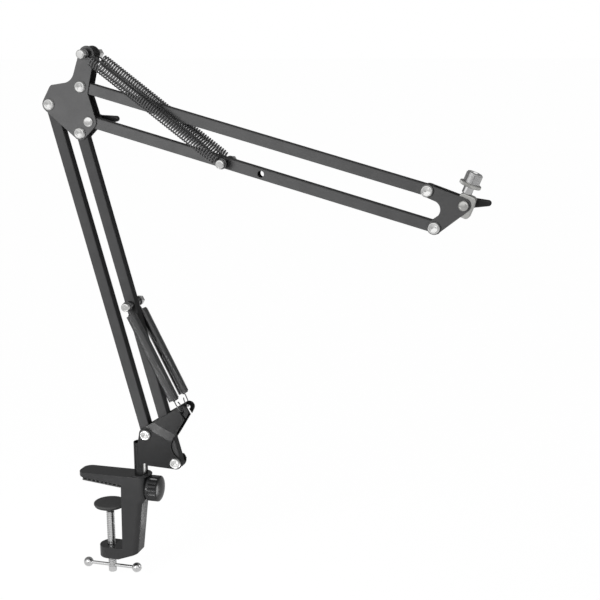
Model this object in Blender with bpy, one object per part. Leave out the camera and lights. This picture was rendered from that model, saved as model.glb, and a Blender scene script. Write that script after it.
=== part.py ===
"""Spring-balanced scissor arm that holds a microphone over a desk, with its screw clamp.

The arm lies in the plane Y = 0. +X points from the desk's edge to the microphone, +Y away from the
viewer and +Z up. The origin is on the ribbed pad under the clamp's upper jaw, where the desk's top
meets it, over the axis of the clamp screw. Sizes are in millimetres and are scaled to metres where
the meshes are made. Blender 4.5.
"""
import math

import bmesh
import bpy
import numpy as np
from mathutils import Matrix, Vector

MM = 0.001
GAP = 0.3                    # clearance left between pieces that touch
OVERCUT = 5.0                        # how far a cutter runs past the face that it opens
DRILL_REACH = 40.0                   # half of a through cutter's length
CHAMFER = 0.8                        # on edges that a hand meets
LIP = 0.4                            # on the ends of turned pieces
COARSE_STEP = 30.0                   # degrees between the points of a wing's rounds
MIDDLE_STEP = 22.0                   # degrees between the points of a block's rounds
FRONT = -1                   # the arm's side toward the viewer
BACK = 1
SIDES = (("front", FRONT), ("back", BACK))

# Linkage: pivots as (X, Z) offsets from one another, in the pose that the stand is modelled in
BASE_PIVOT = (47.2, 57.4)            # lower arm's left bar on the base bracket
BASE_LINK = (32.2, -28.1)            # from there to the right bar's pivot
LOWER_ARM_LENGTH = 350.0             # between a lower bar's pivots
LOWER_ARM_LEAN = 15.07               # degrees to the left of upright
ELBOW_TO_TOP_BAR = (34.9, 17.4)      # elbow's left pivot to the upper arm's top pivot
TOP_BAR_TO_BOTTOM_BAR = (7.1, -34.1) # link between the upper arm's two bars
UPPER_ARM_LENGTH = 358.7
UPPER_ARM_DROP = 15.05               # degrees below level
HEAD_TO_TILT = (34.1, -12.7)         # head's top pivot to the tilt axis
TOP_ANCHOR = (8.0, 31.6)             # from the upper arm's top pivot to the springs' top bolt
LOWER_ANCHOR_SHARE = 171.0           # along the lower arm's right bar from its bottom pivot
BOOM_ANCHOR_SHARE = 145.7            # along the upper arm's bottom bar from the elbow
SPARE_HOLE_SHARE = 183.9             # empty hole in the same bar

# Square tube of the four bars
TUBE_DEPTH = 10.4                    # along Y
LOWER_TUBE_HEIGHT = 11.2
UPPER_TUBE_HEIGHT = 10.8
TUBE_WALL = 1.2
TUBE_CORNER = 1.2
BAR_END_OVERHANG = 5.2               # tube beyond its pivot's centre
SHEET = 1.6                          # thickness of all plates
PLATE_IN = TUBE_DEPTH / 2 + GAP      # inner face of the plates, from the plane Y = 0
PLATE_OUT = PLATE_IN + SHEET

# Fasteners
BOLT_R = 3.0
HOLE_R = BOLT_R + GAP
HEAD_R = 6.0
HEAD_HEIGHT = 2.8
SOCKET_R = 3.3
SOCKET_DEPTH = 1.8
NUT_R = 5.6
NUT_HEIGHT = 4.2
THREAD_STICKOUT = 1.4                # bolt end beyond its nut

# Base bracket, in the base pivot's frame
POST_OFFSET = -9.5                   # swivel axis from the base pivot along X
POST_R = PLATE_IN - GAP
WRAP_TOP = -10.5
COLLAR_TOP = -45.0
TONGUE_END = -4.9
BRACKET_BOTTOM = -33.9
RELIEF_R = 2.4
BASE_ROUND_R = 7.5
BASE_LINK_ROUND_R = 7.0
WAIST_CENTRE = (41.0, -10.0)
WAIST_R = 13.0
BRACKET_BOUND = 90.0                 # beyond the bracket on every side
HOOK_PLATE_OUT = 10.0                # outer face of the joggled part that carries the hooks
JOGGLE_NORMAL = 64.3                 # direction across the bend lines, degrees from +X
JOGGLE_START = 6.9                   # bend lines' distances along that direction
JOGGLE_END = 18.2
HOOK_HOLE = (42.2, 29.1)
HOOK_HOLE_R = 2.1
FINGER_CENTRE = (43.4, 29.8)
FINGER_R = 5.6
SLIT_MOUTH_LEFT = (44.3, 20.8)
SLIT_MOUTH_RIGHT = (46.0, 22.3)
BARB = (42.8, 26.9)

# Clamp
CLAMP_WIDTH = 25.0
JAW_TOP = 10.9
JAW_UNDER = 1.8                      # height of the jaw's underside over the screw's axis
JAW_TAPER = 0.1045                   # by which the underside drops per unit of length toward the column
JAW_TIP = -28.8
JAW_TIP_R = 5.0
COLUMN_INNER = 18.9
COLUMN_INNER_FOOT = 17.8
COLUMN_OUTER_HEAD = 45.4
COLUMN_OUTER_NECK = 41.0
COLUMN_OUTER_FOOT = 34.2
BOSS_FOOT = -14.0
NECK_Z = -20.0
LOWER_JAW_TOP = -71.6
LOWER_JAW_UNDER = -84.0
COLUMN_FOOT_RISE = 8.0
COLUMN_ROUND = 5.5
RIM_R = 11.5
POST_BORE_DEPTH = 30.0
PAD_LENGTH = 44.0
PAD_WIDTH = 19.0
PAD_RIB_PITCH = 4.0
PAD_RIB_HEIGHT = 1.8
PAD_BASE = 1.2

# Clamp screw
SCREW_R = 4.0
SCREW_CORE_R = 3.3
SCREW_END = -103.5
DISC_TOP = -24.1
DISC_R = 17.0
RUBBER_THICKNESS = 2.2
DISC_THICKNESS = 2.6
DISC_HUB_R = 8.0
DISC_HUB_HEIGHT = 4.4
TOMMY_Z = -96.4
TOMMY_R = 1.8
TOMMY_SPAN = 56.5                    # between the centres of the end balls
BALL_R = 5.2

# Lock knob on the clamp's column
KNOB_Z = -3.5
KNOB_R = 13.6
KNOB_LENGTH = 13.4
KNOB_STUD_R = 3.0
KNOB_FLUTES = 24

# Anchors, springs
ANCHOR_HEAD_R = 4.4
ANCHOR_HEAD_HEIGHT = 2.6
SPRING_Y = 13.4                      # springs' axes from the plane Y = 0
WIRE_R = 0.8
EYE_R = 4.4                          # mean radius of an end loop
UPPER_SPRING_R = 5.1                 # mean radius of the turns
LOWER_SPRING_R = 4.9
UPPER_TURNS = 22
LOWER_TURNS = 13
POINTS_PER_TURN = 8
COIL_START = 9.0                     # first and last turns from the anchors' axes
UPPER_COIL_END = 6.4
LOWER_COIL_END = 14.2
SPLIT = 1.6                          # straight wire beyond the last turn, where the far end begins
HOOK_END = ((2.6, 0.0, -9.5), (0.9, 0.1, -6.0), (0.0, 0.3, -2.6), (0.0, 0.55, -0.9), (0.0, 1.0, -0.5),
            (0.0, 1.45, -0.9), (0.0, 1.72, -2.8), (0.0, 1.72, -5.0))
TOP_ANCHOR_SLEEVE = 4.9              # between a spring's end loop and the bolt's head or nut
BAR_ANCHOR_SLEEVE = 2.5
SLEEVE_R = 4.2
ANCHOR_NUT_R = 4.7

# Elbow and head plates: rounds on the pivots, and shoulders and hollows as (X, Z, radius) offsets
ELBOW_ANCHOR_ROUND_R = 8.0
ELBOW_LEFT_HOLLOW = (15.5, 34.0, -13.0)
ELBOW_LEFT_SHOULDER = (5.2, 14.3, 5.0)
ELBOW_LEFT_ROUND_R = 7.6
ELBOW_BOTTOM_ROUND_R = 7.0
ELBOW_KNOB_ROUND_R = 8.2
ELBOW_RIGHT_HOLLOW = (6.4, 28.0, -6.0)
HEAD_TILT_ROUND_R = 6.8
HEAD_TOP_ROUND_R = 6.0
HEAD_NOTCH = (4.0, -17.3, -8.6)
HEAD_BOTTOM_ROUND_R = 6.8

# Head
TILT_DEGREES = 22.0                  # stud's lean to the right
BLOCK = (-7.5, 8.9, -11.4, 10.3)     # swivel block about the tilt axis: left, right, bottom, top
BLOCK_CORNER = 4.0
STUD_OFFSET = -2.5
STUD_R = 4.9
STUD_RING_Z = 17.6
RING_R = 10.4
RING_HEIGHT = 3.4
MIC_THREAD_R = 7.9
MIC_THREAD_LENGTH = 10.0
SPIGOT_WALL = 1.6                    # between the stud's spigot and the tilt bolt's hole
TILT_HEAD_R = 4.9
TILT_HEAD_HEIGHT = 3.0
CLAMP_HEAD_R = 5.0
CLAMP_HEAD_HEIGHT = 2.4

# Wing knobs behind the elbow and the head
WING_HUB_R = 6.2
WING_SPAN = 23.0
WING_TIP_R = 2.9
WING_ROOT_R = 4.6
WING_START = NUT_HEIGHT + THREAD_STICKOUT + 2 * GAP     # so that the wings pass behind the nuts
WING_THICKNESS = 4.6
WING_BULGE = 1.0
ELBOW_WING_TURN = 5.0                # degrees from level
HUB_HEIGHT = 10.4
HUB_CAP = 1.5                        # closed end of the hub's bore
BORE_SPARE = 1.5                     # between the bolt's end and the end of that bore


def polar(length, degrees):
    """The vector of a length at an angle from +X toward +Z."""
    return (length * math.cos(math.radians(degrees)), length * math.sin(math.radians(degrees)))


def add(a, b, share=1.0):
    """Point a moved by a share of vector b."""
    return (a[0] + b[0] * share, a[1] + b[1] * share)


LOWER_DIR = polar(1.0, 90 + LOWER_ARM_LEAN)
UPPER_DIR = polar(1.0, -UPPER_ARM_DROP)
B0 = BASE_PIVOT
B1 = add(B0, BASE_LINK)
E0 = add(B0, LOWER_DIR, LOWER_ARM_LENGTH)
E1 = add(B1, LOWER_DIR, LOWER_ARM_LENGTH)
U0 = add(E0, ELBOW_TO_TOP_BAR)
U1 = add(U0, TOP_BAR_TO_BOTTOM_BAR)
H0 = add(U0, UPPER_DIR, UPPER_ARM_LENGTH)
H1 = add(U1, UPPER_DIR, UPPER_ARM_LENGTH)
TILT = add(H0, HEAD_TO_TILT)
ANCHOR_TOP = add(U0, TOP_ANCHOR)
ANCHOR_BOOM = add(U1, UPPER_DIR, BOOM_ANCHOR_SHARE)
ANCHOR_LOWER = add(B1, LOWER_DIR, LOWER_ANCHOR_SHARE)
HOOK = add(B0, HOOK_HOLE)
POST_X = B0[0] + POST_OFFSET
RIM_TOP = B0[1] + COLLAR_TOP - GAP


class Finish:
    """A plain finish: base colour, roughness and metallic value."""

    def __init__(self, name, colour, roughness, metallic):
        self.material = bpy.data.materials.new(name)
        self.material.diffuse_color = (*colour, 1.0)
        self.material.use_nodes = True
        shader = self.material.node_tree.nodes["Principled BSDF"]
        shader.inputs["Base Color"].default_value = (*colour, 1.0)
        shader.inputs["Roughness"].default_value = roughness
        shader.inputs["Metallic"].default_value = metallic


def clear_scene():
    """Removes every object of the scene that the script starts in."""
    for old in list(bpy.data.objects):
        bpy.data.objects.remove(old, do_unlink=True)


def make_object(name, bm, finish, sharp=40.0):
    """A mesh object from a bmesh in millimetres, shaded smooth up to an angle."""
    bmesh.ops.recalc_face_normals(bm, faces=bm.faces)
    bmesh.ops.scale(bm, vec=(MM, MM, MM), verts=bm.verts)
    mesh = bpy.data.meshes.new(name)
    bm.to_mesh(mesh)
    bm.free()
    obj = bpy.data.objects.new(name, mesh)
    bpy.context.scene.collection.objects.link(obj)
    if finish is not None:
        mesh.materials.append(finish.material)
    mesh.shade_smooth()
    mesh.set_sharp_from_angle(angle=math.radians(sharp))
    return obj


def belt(circles, step=26.0):
    """Outline that runs counter-clockwise round (x, z, r) circles, joined by tangent lines.

    A negative radius is a hollow that the outline runs round clockwise, and a zero radius a corner.
    """
    count = len(circles)
    headings = []
    for i, (x0, z0, r0) in enumerate(circles):
        x1, z1, r1 = circles[(i + 1) % count]
        distance = math.hypot(x1 - x0, z1 - z0)
        headings.append(math.atan2(z1 - z0, x1 - x0) - math.asin((r1 - r0) / distance))
    outline = []
    for i, (x, z, r) in enumerate(circles):
        if r == 0:
            outline.append((x, z))
            continue
        turn = (headings[i] - headings[i - 1]) % math.tau
        if r < 0:
            turn -= math.tau
        pieces = max(2, round(abs(math.degrees(turn)) / step))
        for k in range(pieces + 1):
            heading = headings[i - 1] + turn * k / pieces
            outline.append((x + r * math.sin(heading), z - r * math.cos(heading)))
    return outline


def prism(outline, y0, y1, bm=None):
    """A bmesh with an XZ outline extruded from y0 to y1."""
    bm = bm or bmesh.new()
    face = bm.faces.new([bm.verts.new((x, y0, z)) for x, z in outline])
    swept = bmesh.ops.extrude_face_region(bm, geom=[face])
    moved = [v for v in swept["geom"] if isinstance(v, bmesh.types.BMVert)]
    bmesh.ops.translate(bm, vec=(0, y1 - y0, 0), verts=moved)
    return bm


def plan_prism(outline, z0, z1):
    """A bmesh with an XY outline extruded from z0 to z1."""
    bm = bmesh.new()
    face = bm.faces.new([bm.verts.new((x, y, z0)) for x, y in outline])
    swept = bmesh.ops.extrude_face_region(bm, geom=[face])
    moved = [v for v in swept["geom"] if isinstance(v, bmesh.types.BMVert)]
    bmesh.ops.translate(bm, vec=(0, 0, z1 - z0), verts=moved)
    return bm


def lathe(profile, segments=20, axis=(0, 0, 1), origin=(0, 0, 0), start=0.0):
    """A turned bmesh: (radius, height) pairs from one end to the other, along an axis from an origin."""
    bm = bmesh.new()
    rings = []
    for radius, height in profile:
        if radius == 0:
            rings.append([bm.verts.new((0, 0, height))])
            continue
        ring = []
        for k in range(segments):
            angle = start + math.tau * k / segments
            ring.append(bm.verts.new((radius * math.cos(angle), radius * math.sin(angle), height)))
        rings.append(ring)
    for lower, upper in zip(rings, rings[1:]):
        for k in range(segments):
            corners = (lower[k % len(lower)], lower[(k + 1) % len(lower)],
                       upper[(k + 1) % len(upper)], upper[k % len(upper)])
            corners = list(dict.fromkeys(corners))
            if len(corners) > 2:
                bm.faces.new(corners)
    for end in (rings[0], rings[-1]):
        if len(end) > 1:
            bm.faces.new(end)
    turn = Vector((0, 0, 1)).rotation_difference(Vector(axis)).to_matrix().to_4x4()
    bmesh.ops.transform(bm, matrix=Matrix.Translation(origin) @ turn, verts=bm.verts)
    return bm


def make_cutter(name, bm):
    """A hidden helper object that only Booleans use."""
    cutter = make_object(name, bm, None)
    cutter.hide_render = True
    cutter.display_type = "WIRE"
    return cutter


def combine(target, cutter, operation):
    """Adds an exact Boolean modifier."""
    boolean = target.modifiers.new(operation.lower(), "BOOLEAN")
    boolean.operation = operation
    boolean.solver = "EXACT"
    boolean.object = cutter
    return target


def cut(target, bm, operation="DIFFERENCE"):
    """Takes a bmesh in millimetres away from a target, or joins the two."""
    return combine(target, make_cutter(f"{target.name}_cutter_{len(target.modifiers)}", bm), operation)


def hole(target, centre, radius, segments=16, half=DRILL_REACH):
    """Drills a round hole along Y through a target at an (X, Z) centre."""
    x, z = centre
    return cut(target, lathe([(radius, -half), (radius, half)], segments, (0, 1, 0), (x, 0, z)))


class Body:
    """A group of pieces that move together, hung on an empty at their joint's axis."""

    def __init__(self, name, pivot, parent=None):
        self.pivot = Vector(pivot) * MM
        self.empty = bpy.data.objects.new(name, None)
        bpy.context.scene.collection.objects.link(self.empty)
        if parent is None:
            self.empty.location = self.pivot
        else:
            self.empty.parent = parent.empty
            self.empty.location = self.pivot - parent.pivot

    def hold(self, *pieces):
        """Parents pieces to the empty, each with its origin on the joint's axis."""
        for piece in pieces:
            piece.data.transform(Matrix.Translation(-self.pivot))
            piece.parent = self.empty


def tube_bar(name, start, direction, length, height, finish, holes):
    """A square tube with rounded corners between two pivots, open at its ends."""
    bm = bmesh.new()
    across = (-direction[1], direction[0])
    half_y, half_z = TUBE_DEPTH / 2, height / 2

    def ring(distance, inset):
        base = add(start, direction, distance)
        corner = max(TUBE_CORNER - inset, 0.3)
        verts = []
        for quarter in range(4):
            centre_angle = math.pi / 4 + quarter * math.pi / 2
            side_y = math.copysign(half_y - inset - corner, math.cos(centre_angle))
            side_z = math.copysign(half_z - inset - corner, math.sin(centre_angle))
            for k in range(3):
                angle = quarter * math.pi / 2 + k * math.pi / 4
                y = side_y + corner * math.cos(angle)
                x, z = add(base, across, side_z + corner * math.sin(angle))
                verts.append(bm.verts.new((x, y, z)))
        return verts

    ends = (-BAR_END_OVERHANG, length + BAR_END_OVERHANG)
    loops = [ring(ends[0], 0), ring(ends[1], 0), ring(ends[1], TUBE_WALL), ring(ends[0], TUBE_WALL)]
    for a, b in zip(loops, loops[1:] + loops[:1]):
        for k in range(len(a)):
            m = (k + 1) % len(a)
            bm.faces.new((a[k], a[m], b[m], b[k]))
    bar = make_object(name, bm, finish)
    for share in holes:
        hole(bar, add(start, direction, share), HOLE_R, 12)
    return bar


def plate(name, circles, side, holes, finish):
    """One flat cheek plate on a side of the bars."""
    near, far = sorted((side * PLATE_IN, side * PLATE_OUT))
    piece = make_object(name, prism(belt(circles), near, far), finish)
    for centre in holes:
        hole(piece, centre, HOLE_R, 14)
    return piece


def pivot_bolt(name, centre, finish):
    """A button-head bolt along Y with a hexagon socket, its head toward the viewer."""
    x, z = centre
    seat = PLATE_OUT + GAP
    tip = seat + NUT_HEIGHT + THREAD_STICKOUT
    profile = [(BOLT_R - LIP, tip), (BOLT_R, tip - LIP), (BOLT_R, -seat), (HEAD_R, -seat),
               (HEAD_R, -seat - CHAMFER), (HEAD_R - 0.9, -seat - 2.0), (HEAD_R - 2.2, -seat - HEAD_HEIGHT)]
    bolt = make_object(name, lathe(profile, 14, (0, 1, 0), (x, 0, z)), finish)
    top = -seat - HEAD_HEIGHT
    socket = lathe([(SOCKET_R, top - 1), (SOCKET_R, top + SOCKET_DEPTH)], 6, (0, 1, 0), (x, 0, z))
    return cut(bolt, socket)


def domed_bolt(name, centre, head_r, head_height, finish):
    """A round-head bolt along Y through the plates, its end in the bore of a wing knob."""
    x, z = centre
    seat = PLATE_OUT + GAP
    end = seat + HUB_HEIGHT - HUB_CAP - BORE_SPARE
    profile = [(BOLT_R - LIP, end), (BOLT_R, end - LIP), (BOLT_R, -seat), (head_r, -seat),
               (head_r, -seat - head_height * 0.55), (head_r * 0.72, -seat - head_height)]
    return make_object(name, lathe(profile, 16, (0, 1, 0), (x, 0, z)), finish)


def sleeve(name, centre, near, far, radius, sides, finish):
    """A drilled sleeve or nut along Y on a bolt."""
    x, z = centre
    low, high = sorted((near, far))
    body = make_object(name, lathe([(radius, low), (radius, high)], sides, (0, 1, 0), (x, 0, z)), finish)
    return cut(body, lathe([(HOLE_R, low - OVERCUT), (HOLE_R, high + OVERCUT)], 12, (0, 1, 0), (x, 0, z)))


def nut(name, centre, finish):
    """A hexagon nut behind the plates."""
    seat = PLATE_OUT + GAP
    return sleeve(name, centre, seat, seat + NUT_HEIGHT, NUT_R, 6, finish)


def wing_knob(name, centre, turn, finish):
    """A two-winged clamping knob behind the plates, its wings turned from level."""
    x, z = centre
    seat = PLATE_OUT + GAP
    wings = []
    tip = (WING_SPAN - WING_TIP_R, WING_TIP_R)
    root = (WING_BULGE, WING_ROOT_R)
    for quarter, (reach, radius) in enumerate((tip, root, tip, root)):
        wings.append((*add(centre, polar(reach, turn + 90 * quarter)), radius))
    wing_seat = seat + WING_START
    knob = make_object(name, prism(belt(wings, COARSE_STEP), wing_seat, wing_seat + WING_THICKNESS), finish)
    hub = [(WING_HUB_R - CHAMFER, seat), (WING_HUB_R, seat + 1.0), (WING_HUB_R, seat + HUB_HEIGHT),
           (WING_HUB_R - 1.6, seat + HUB_HEIGHT + 1.4)]
    cut(knob, lathe(hub, 20, (0, 1, 0), (x, 0, z)), "UNION")
    bore = [(HOLE_R, seat - OVERCUT), (HOLE_R, seat + HUB_HEIGHT - HUB_CAP)]
    return cut(knob, lathe(bore, 12, (0, 1, 0), (x, 0, z)))


def spring_frame(start, end, y):
    """A matrix whose Z axis runs from one anchor to the other and whose Y axis is the object's Y."""
    along = Vector((end[0] - start[0], 0, end[1] - start[1]))
    length = along.length
    along.normalize()
    across = Vector((0, 1, 0)).cross(along)
    frame = Matrix((across, Vector((0, 1, 0)), along)).transposed().to_4x4()
    return Matrix.Translation((start[0], y, start[1])) @ frame, length


def least_gap(points, skip):
    """The least distance between a wire's surface and itself, over points more than skip apart."""
    p = np.array([tuple(q) for q in points])
    distance = np.linalg.norm(p[:, None] - p[None], axis=2)
    index = np.arange(len(p))
    far_apart = np.abs(index[:, None] - index[None]) > skip
    return distance[far_apart].min() - 2 * WIRE_R


def wire(name, points, finish):
    """A tube of six sides along a list of points, with filled ends."""
    curve = bpy.data.curves.new(name, "CURVE")
    curve.dimensions = "3D"
    curve.bevel_depth = WIRE_R * MM
    curve.bevel_resolution = 1
    curve.use_fill_caps = True
    spline = curve.splines.new("POLY")
    spline.points.add(len(points) - 1)
    for point, target in zip(spline.points, points):
        point.co = (*(Vector(target) * MM), 1.0)
    curve.materials.append(finish.material)
    obj = bpy.data.objects.new(name, curve)
    bpy.context.scene.collection.objects.link(obj)
    return obj


def coil_points(radius, turns, low, high):
    """Helix points about the local Z axis from low to high."""
    total = turns * POINTS_PER_TURN
    points = []
    for k in range(total + 1):
        angle = math.tau * k / POINTS_PER_TURN
        height = low + (high - low) * k / total
        points.append(Vector((radius * math.cos(angle), radius * math.sin(angle), height)))
    return points


def anchor_loop(radius):
    """An open end loop round an anchor at the local origin, ending where the shank to +Z begins."""
    points = []
    steps = 8
    for k in range(steps + 1):
        angle = math.radians(125 + 235 * k / steps)
        points.append(Vector((radius * math.cos(angle), 0, radius * math.sin(angle))))
    return points


def spring(name, start, end, y, radius, turns, coil_end, finish, hook):
    """A tension spring between two anchors: its coil with one end loop, and its far end loop.

    The far loop is a piece of its own, because it moves away from the coil as the spring stretches.
    """
    frame, length = spring_frame(start, end, y)
    last = length - coil_end
    coil = anchor_loop(EYE_R)
    coil += coil_points(radius, turns, COIL_START, last)
    coil.append(Vector((radius, 0, last + SPLIT)))
    far = [Vector((radius, 0, last + SPLIT + GAP)), Vector((radius, 0, last + 2 * SPLIT))]
    if hook:
        inward = math.copysign(1.0, -y)
        depth = abs(y) - (HOOK_PLATE_OUT - SHEET / 2)
        for x, across, height in HOOK_END:
            far.append(Vector((x, inward * depth * across, length + height)))
    else:
        for point in reversed(anchor_loop(EYE_R)):
            far.append(Vector((point.x, 0, length - point.z)))
    print(f"{name}: least gap between turns {least_gap(coil, 3):.2f} mm")
    return (wire(name, [frame @ p for p in coil], finish),
            wire(f"{name}_end", [frame @ p for p in far], finish))


def under_jaw(x):
    """The height of the upper jaw's tapered underside at a distance from the screw's axis."""
    return JAW_UNDER - JAW_TAPER * x


def build_clamp_frame(paint):
    """The cast C-shaped clamp frame with its post bore, screw bore and recess for the pad."""
    half = CLAMP_WIDTH / 2
    side = [(JAW_TIP, under_jaw(JAW_TIP)), (COLUMN_INNER, under_jaw(COLUMN_INNER)),
            (COLUMN_INNER_FOOT, LOWER_JAW_TOP), (-half, LOWER_JAW_TOP),
            (-half, LOWER_JAW_UNDER), (half, LOWER_JAW_UNDER),
            (COLUMN_OUTER_FOOT, LOWER_JAW_UNDER + COLUMN_FOOT_RISE), (COLUMN_OUTER_NECK, NECK_Z),
            (COLUMN_OUTER_HEAD, BOSS_FOOT), (COLUMN_OUTER_HEAD, JAW_TOP), (JAW_TIP, JAW_TOP)]
    bm = prism(side, -half, half)
    rounded = [edge for edge in bm.edges
               if all(v.co.x > COLUMN_OUTER_FOOT - GAP for v in edge.verts)
               and edge.verts[0].co.y == edge.verts[1].co.y]
    bmesh.ops.bevel(bm, geom=rounded, offset=COLUMN_ROUND, segments=4, profile=0.5, affect="EDGES")
    clamp = make_object("clamp_frame", bm, paint)

    back = COLUMN_OUTER_HEAD + OVERCUT
    split = (LOWER_JAW_TOP + NECK_Z) / 2
    jaw = belt([(JAW_TIP + JAW_TIP_R, -half + JAW_TIP_R, JAW_TIP_R), (back, -half, 0), (back, half, 0),
                (JAW_TIP + JAW_TIP_R, half - JAW_TIP_R, JAW_TIP_R)], 15)
    foot = belt([(0, 0, half), (back, -half, 0), (back, half, 0)], 15)
    plan = make_cutter("clamp_plan_cutter", plan_prism(foot, LOWER_JAW_UNDER - OVERCUT, split))
    cut(plan, plan_prism(jaw, split - 1, JAW_TOP + OVERCUT), "UNION")
    combine(clamp, plan, "INTERSECT")

    rim = [(RIM_R, JAW_TOP - LIP), (RIM_R, RIM_TOP - 0.5), (RIM_R - 0.5, RIM_TOP)]
    cut(clamp, lathe(rim, 28, origin=(POST_X, 0, 0)), "UNION")
    post_bore = [(PLATE_IN, RIM_TOP - POST_BORE_DEPTH), (PLATE_IN, RIM_TOP + OVERCUT)]
    cut(clamp, lathe(post_bore, 24, origin=(POST_X, 0, 0)))
    screw_bore = [(SCREW_R + GAP, LOWER_JAW_UNDER - OVERCUT), (SCREW_R + GAP, LOWER_JAW_TOP + OVERCUT)]
    cut(clamp, lathe(screw_bore, 20))
    stud_bore = [(KNOB_STUD_R + GAP, POST_X), (KNOB_STUD_R + GAP, back)]
    cut(clamp, lathe(stud_bore, 14, (1, 0, 0), (0, 0, KNOB_Z)))
    (left, front), _, (right, back), _ = pad_outline(GAP)
    recess = [(left, under_jaw(left) - OVERCUT), (right, under_jaw(right) - OVERCUT),
              (right, under_jaw(right) + PAD_BASE + GAP), (left, under_jaw(left) + PAD_BASE + GAP)]
    return cut(clamp, prism(recess, front, back))


def pad_outline(margin):
    """The pad's rectangle under the upper jaw, widened by a margin."""
    middle = (JAW_TIP + COLUMN_INNER) / 2
    x = PAD_LENGTH / 2 + margin
    y = PAD_WIDTH / 2 + margin
    return [(middle - x, -y), (middle + x, -y), (middle + x, y), (middle - x, y)]


def build_jaw_pad(rubber):
    """The rubber pad in the upper jaw, ribbed across on its lower face."""
    (left, front), _, (right, back), _ = pad_outline(0)
    outline = [(right, under_jaw(right) + PAD_BASE), (left, under_jaw(left) + PAD_BASE), (left, under_jaw(left))]
    for k in range(math.ceil(left / PAD_RIB_PITCH + 0.5), math.floor(right / PAD_RIB_PITCH - 0.5) + 1):
        start = (k - 0.25) * PAD_RIB_PITCH
        end = (k + 0.25) * PAD_RIB_PITCH
        outline += [(start, under_jaw(start)), (start, under_jaw(start) - PAD_RIB_HEIGHT),
                    (end, under_jaw(end) - PAD_RIB_HEIGHT), (end, under_jaw(end))]
    outline.append((right, under_jaw(right)))
    return make_object("upper_jaw_pad", prism(outline, front, back), rubber)


def build_pressure_disc(paint, rubber):
    """The swivelling disc on the clamp screw, with its rubber face."""
    rubber_foot = DISC_TOP - RUBBER_THICKNESS
    face = lathe([(DISC_R - LIP, DISC_TOP), (DISC_R, DISC_TOP - LIP), (DISC_R, rubber_foot)], 32)
    top = rubber_foot - GAP
    under = top - DISC_THICKNESS
    hub = under - DISC_HUB_HEIGHT
    body = lathe([(DISC_R - CHAMFER, top), (DISC_R - CHAMFER, top - 1.2), (DISC_R - 3.0, under),
                  (DISC_HUB_R, under - CHAMFER), (DISC_HUB_R - 1.4, hub)], 32)
    disc = make_object("pressure_disc", body, paint)
    cut(disc, lathe([(SCREW_CORE_R, under - 0.2), (SCREW_CORE_R, hub - OVERCUT)], 16))
    return disc, make_object("disc_rubber", face, rubber)


def build_clamp_screw(chrome):
    """The clamp screw with its spigot in the disc's hub, drilled across for the tommy bar."""
    seat = DISC_TOP - RUBBER_THICKNESS - 2 * GAP - DISC_THICKNESS - DISC_HUB_HEIGHT
    spigot_r = SCREW_CORE_R - GAP
    profile = [(spigot_r, seat + DISC_HUB_HEIGHT - GAP), (spigot_r, seat), (SCREW_R, seat),
               (SCREW_R, SCREW_END + CHAMFER), (SCREW_R - CHAMFER, SCREW_END)]
    screw = make_object("clamp_screw", lathe(profile, 20), chrome)
    cut(screw, lathe([(TOMMY_R + GAP, -10), (TOMMY_R + GAP, 10)], 12, (1, 0, 0), (0, 0, TOMMY_Z)))
    return screw


def build_tommy_bar(chrome):
    """The sliding cross bar with a ball on each end."""
    half = TOMMY_SPAN / 2
    left = []
    for k in range(8):
        angle = math.pi * k / 8
        radius = BALL_R * math.sin(angle)
        if k > 4:
            radius = max(radius, TOMMY_R)
        left.append((radius, -half - BALL_R * math.cos(angle)))
    right = [(radius, -height) for radius, height in reversed(left)]
    return make_object("tommy_bar", lathe(left + right, 14, (1, 0, 0), (0, 0, TOMMY_Z)), chrome)


def build_lock_knob(plastic, steel):
    """The round knob that locks the post, and the threaded stud moulded into it."""
    rear = COLUMN_OUTER_HEAD + 2 * GAP
    face = rear + KNOB_LENGTH
    profile = [(KNOB_R - 1.2, rear), (KNOB_R, rear + CHAMFER), (KNOB_R, face - 1.6),
               (KNOB_R - 1.6, face - 0.3), (KNOB_R - 4, face)]
    knob = make_object("lock_knob", lathe(profile, KNOB_FLUTES, (1, 0, 0), (0, 0, KNOB_Z)), plastic)
    stud_end = rear + KNOB_LENGTH * 0.6
    socket = [(KNOB_STUD_R + GAP, rear - OVERCUT), (KNOB_STUD_R + GAP, stud_end + GAP)]
    cut(knob, lathe(socket, 14, (1, 0, 0), (0, 0, KNOB_Z)))
    shank = [(KNOB_STUD_R, POST_X + POST_R + GAP), (KNOB_STUD_R, stud_end)]
    return knob, make_object("lock_knob_stud", lathe(shank, 14, (1, 0, 0), (0, 0, KNOB_Z)), steel)


def bracket_sheet(side):
    """One endless joggled sheet of the base bracket, as a bmesh to cut the cheeks out of."""
    across = polar(1.0, JOGGLE_NORMAL)
    steps = [(-BRACKET_BOUND, PLATE_OUT), (JOGGLE_START, PLATE_OUT), (JOGGLE_END, HOOK_PLATE_OUT),
             (BRACKET_BOUND, HOOK_PLATE_OUT)]
    section = steps + [(share, y - SHEET) for share, y in reversed(steps)]
    bm = bmesh.new()
    corners = []
    for share, y in section:
        x, z = add(B0, across, share)
        corners.append(bm.verts.new((x - BRACKET_BOUND * across[1], side * y, z + BRACKET_BOUND * across[0])))
    face = bm.faces.new(corners)
    swept = bmesh.ops.extrude_face_region(bm, geom=[face])
    moved = [v for v in swept["geom"] if isinstance(v, bmesh.types.BMVert)]
    along = (2 * BRACKET_BOUND * across[1], 0, -2 * BRACKET_BOUND * across[0])
    bmesh.ops.translate(bm, vec=along, verts=moved)
    return bm


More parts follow.
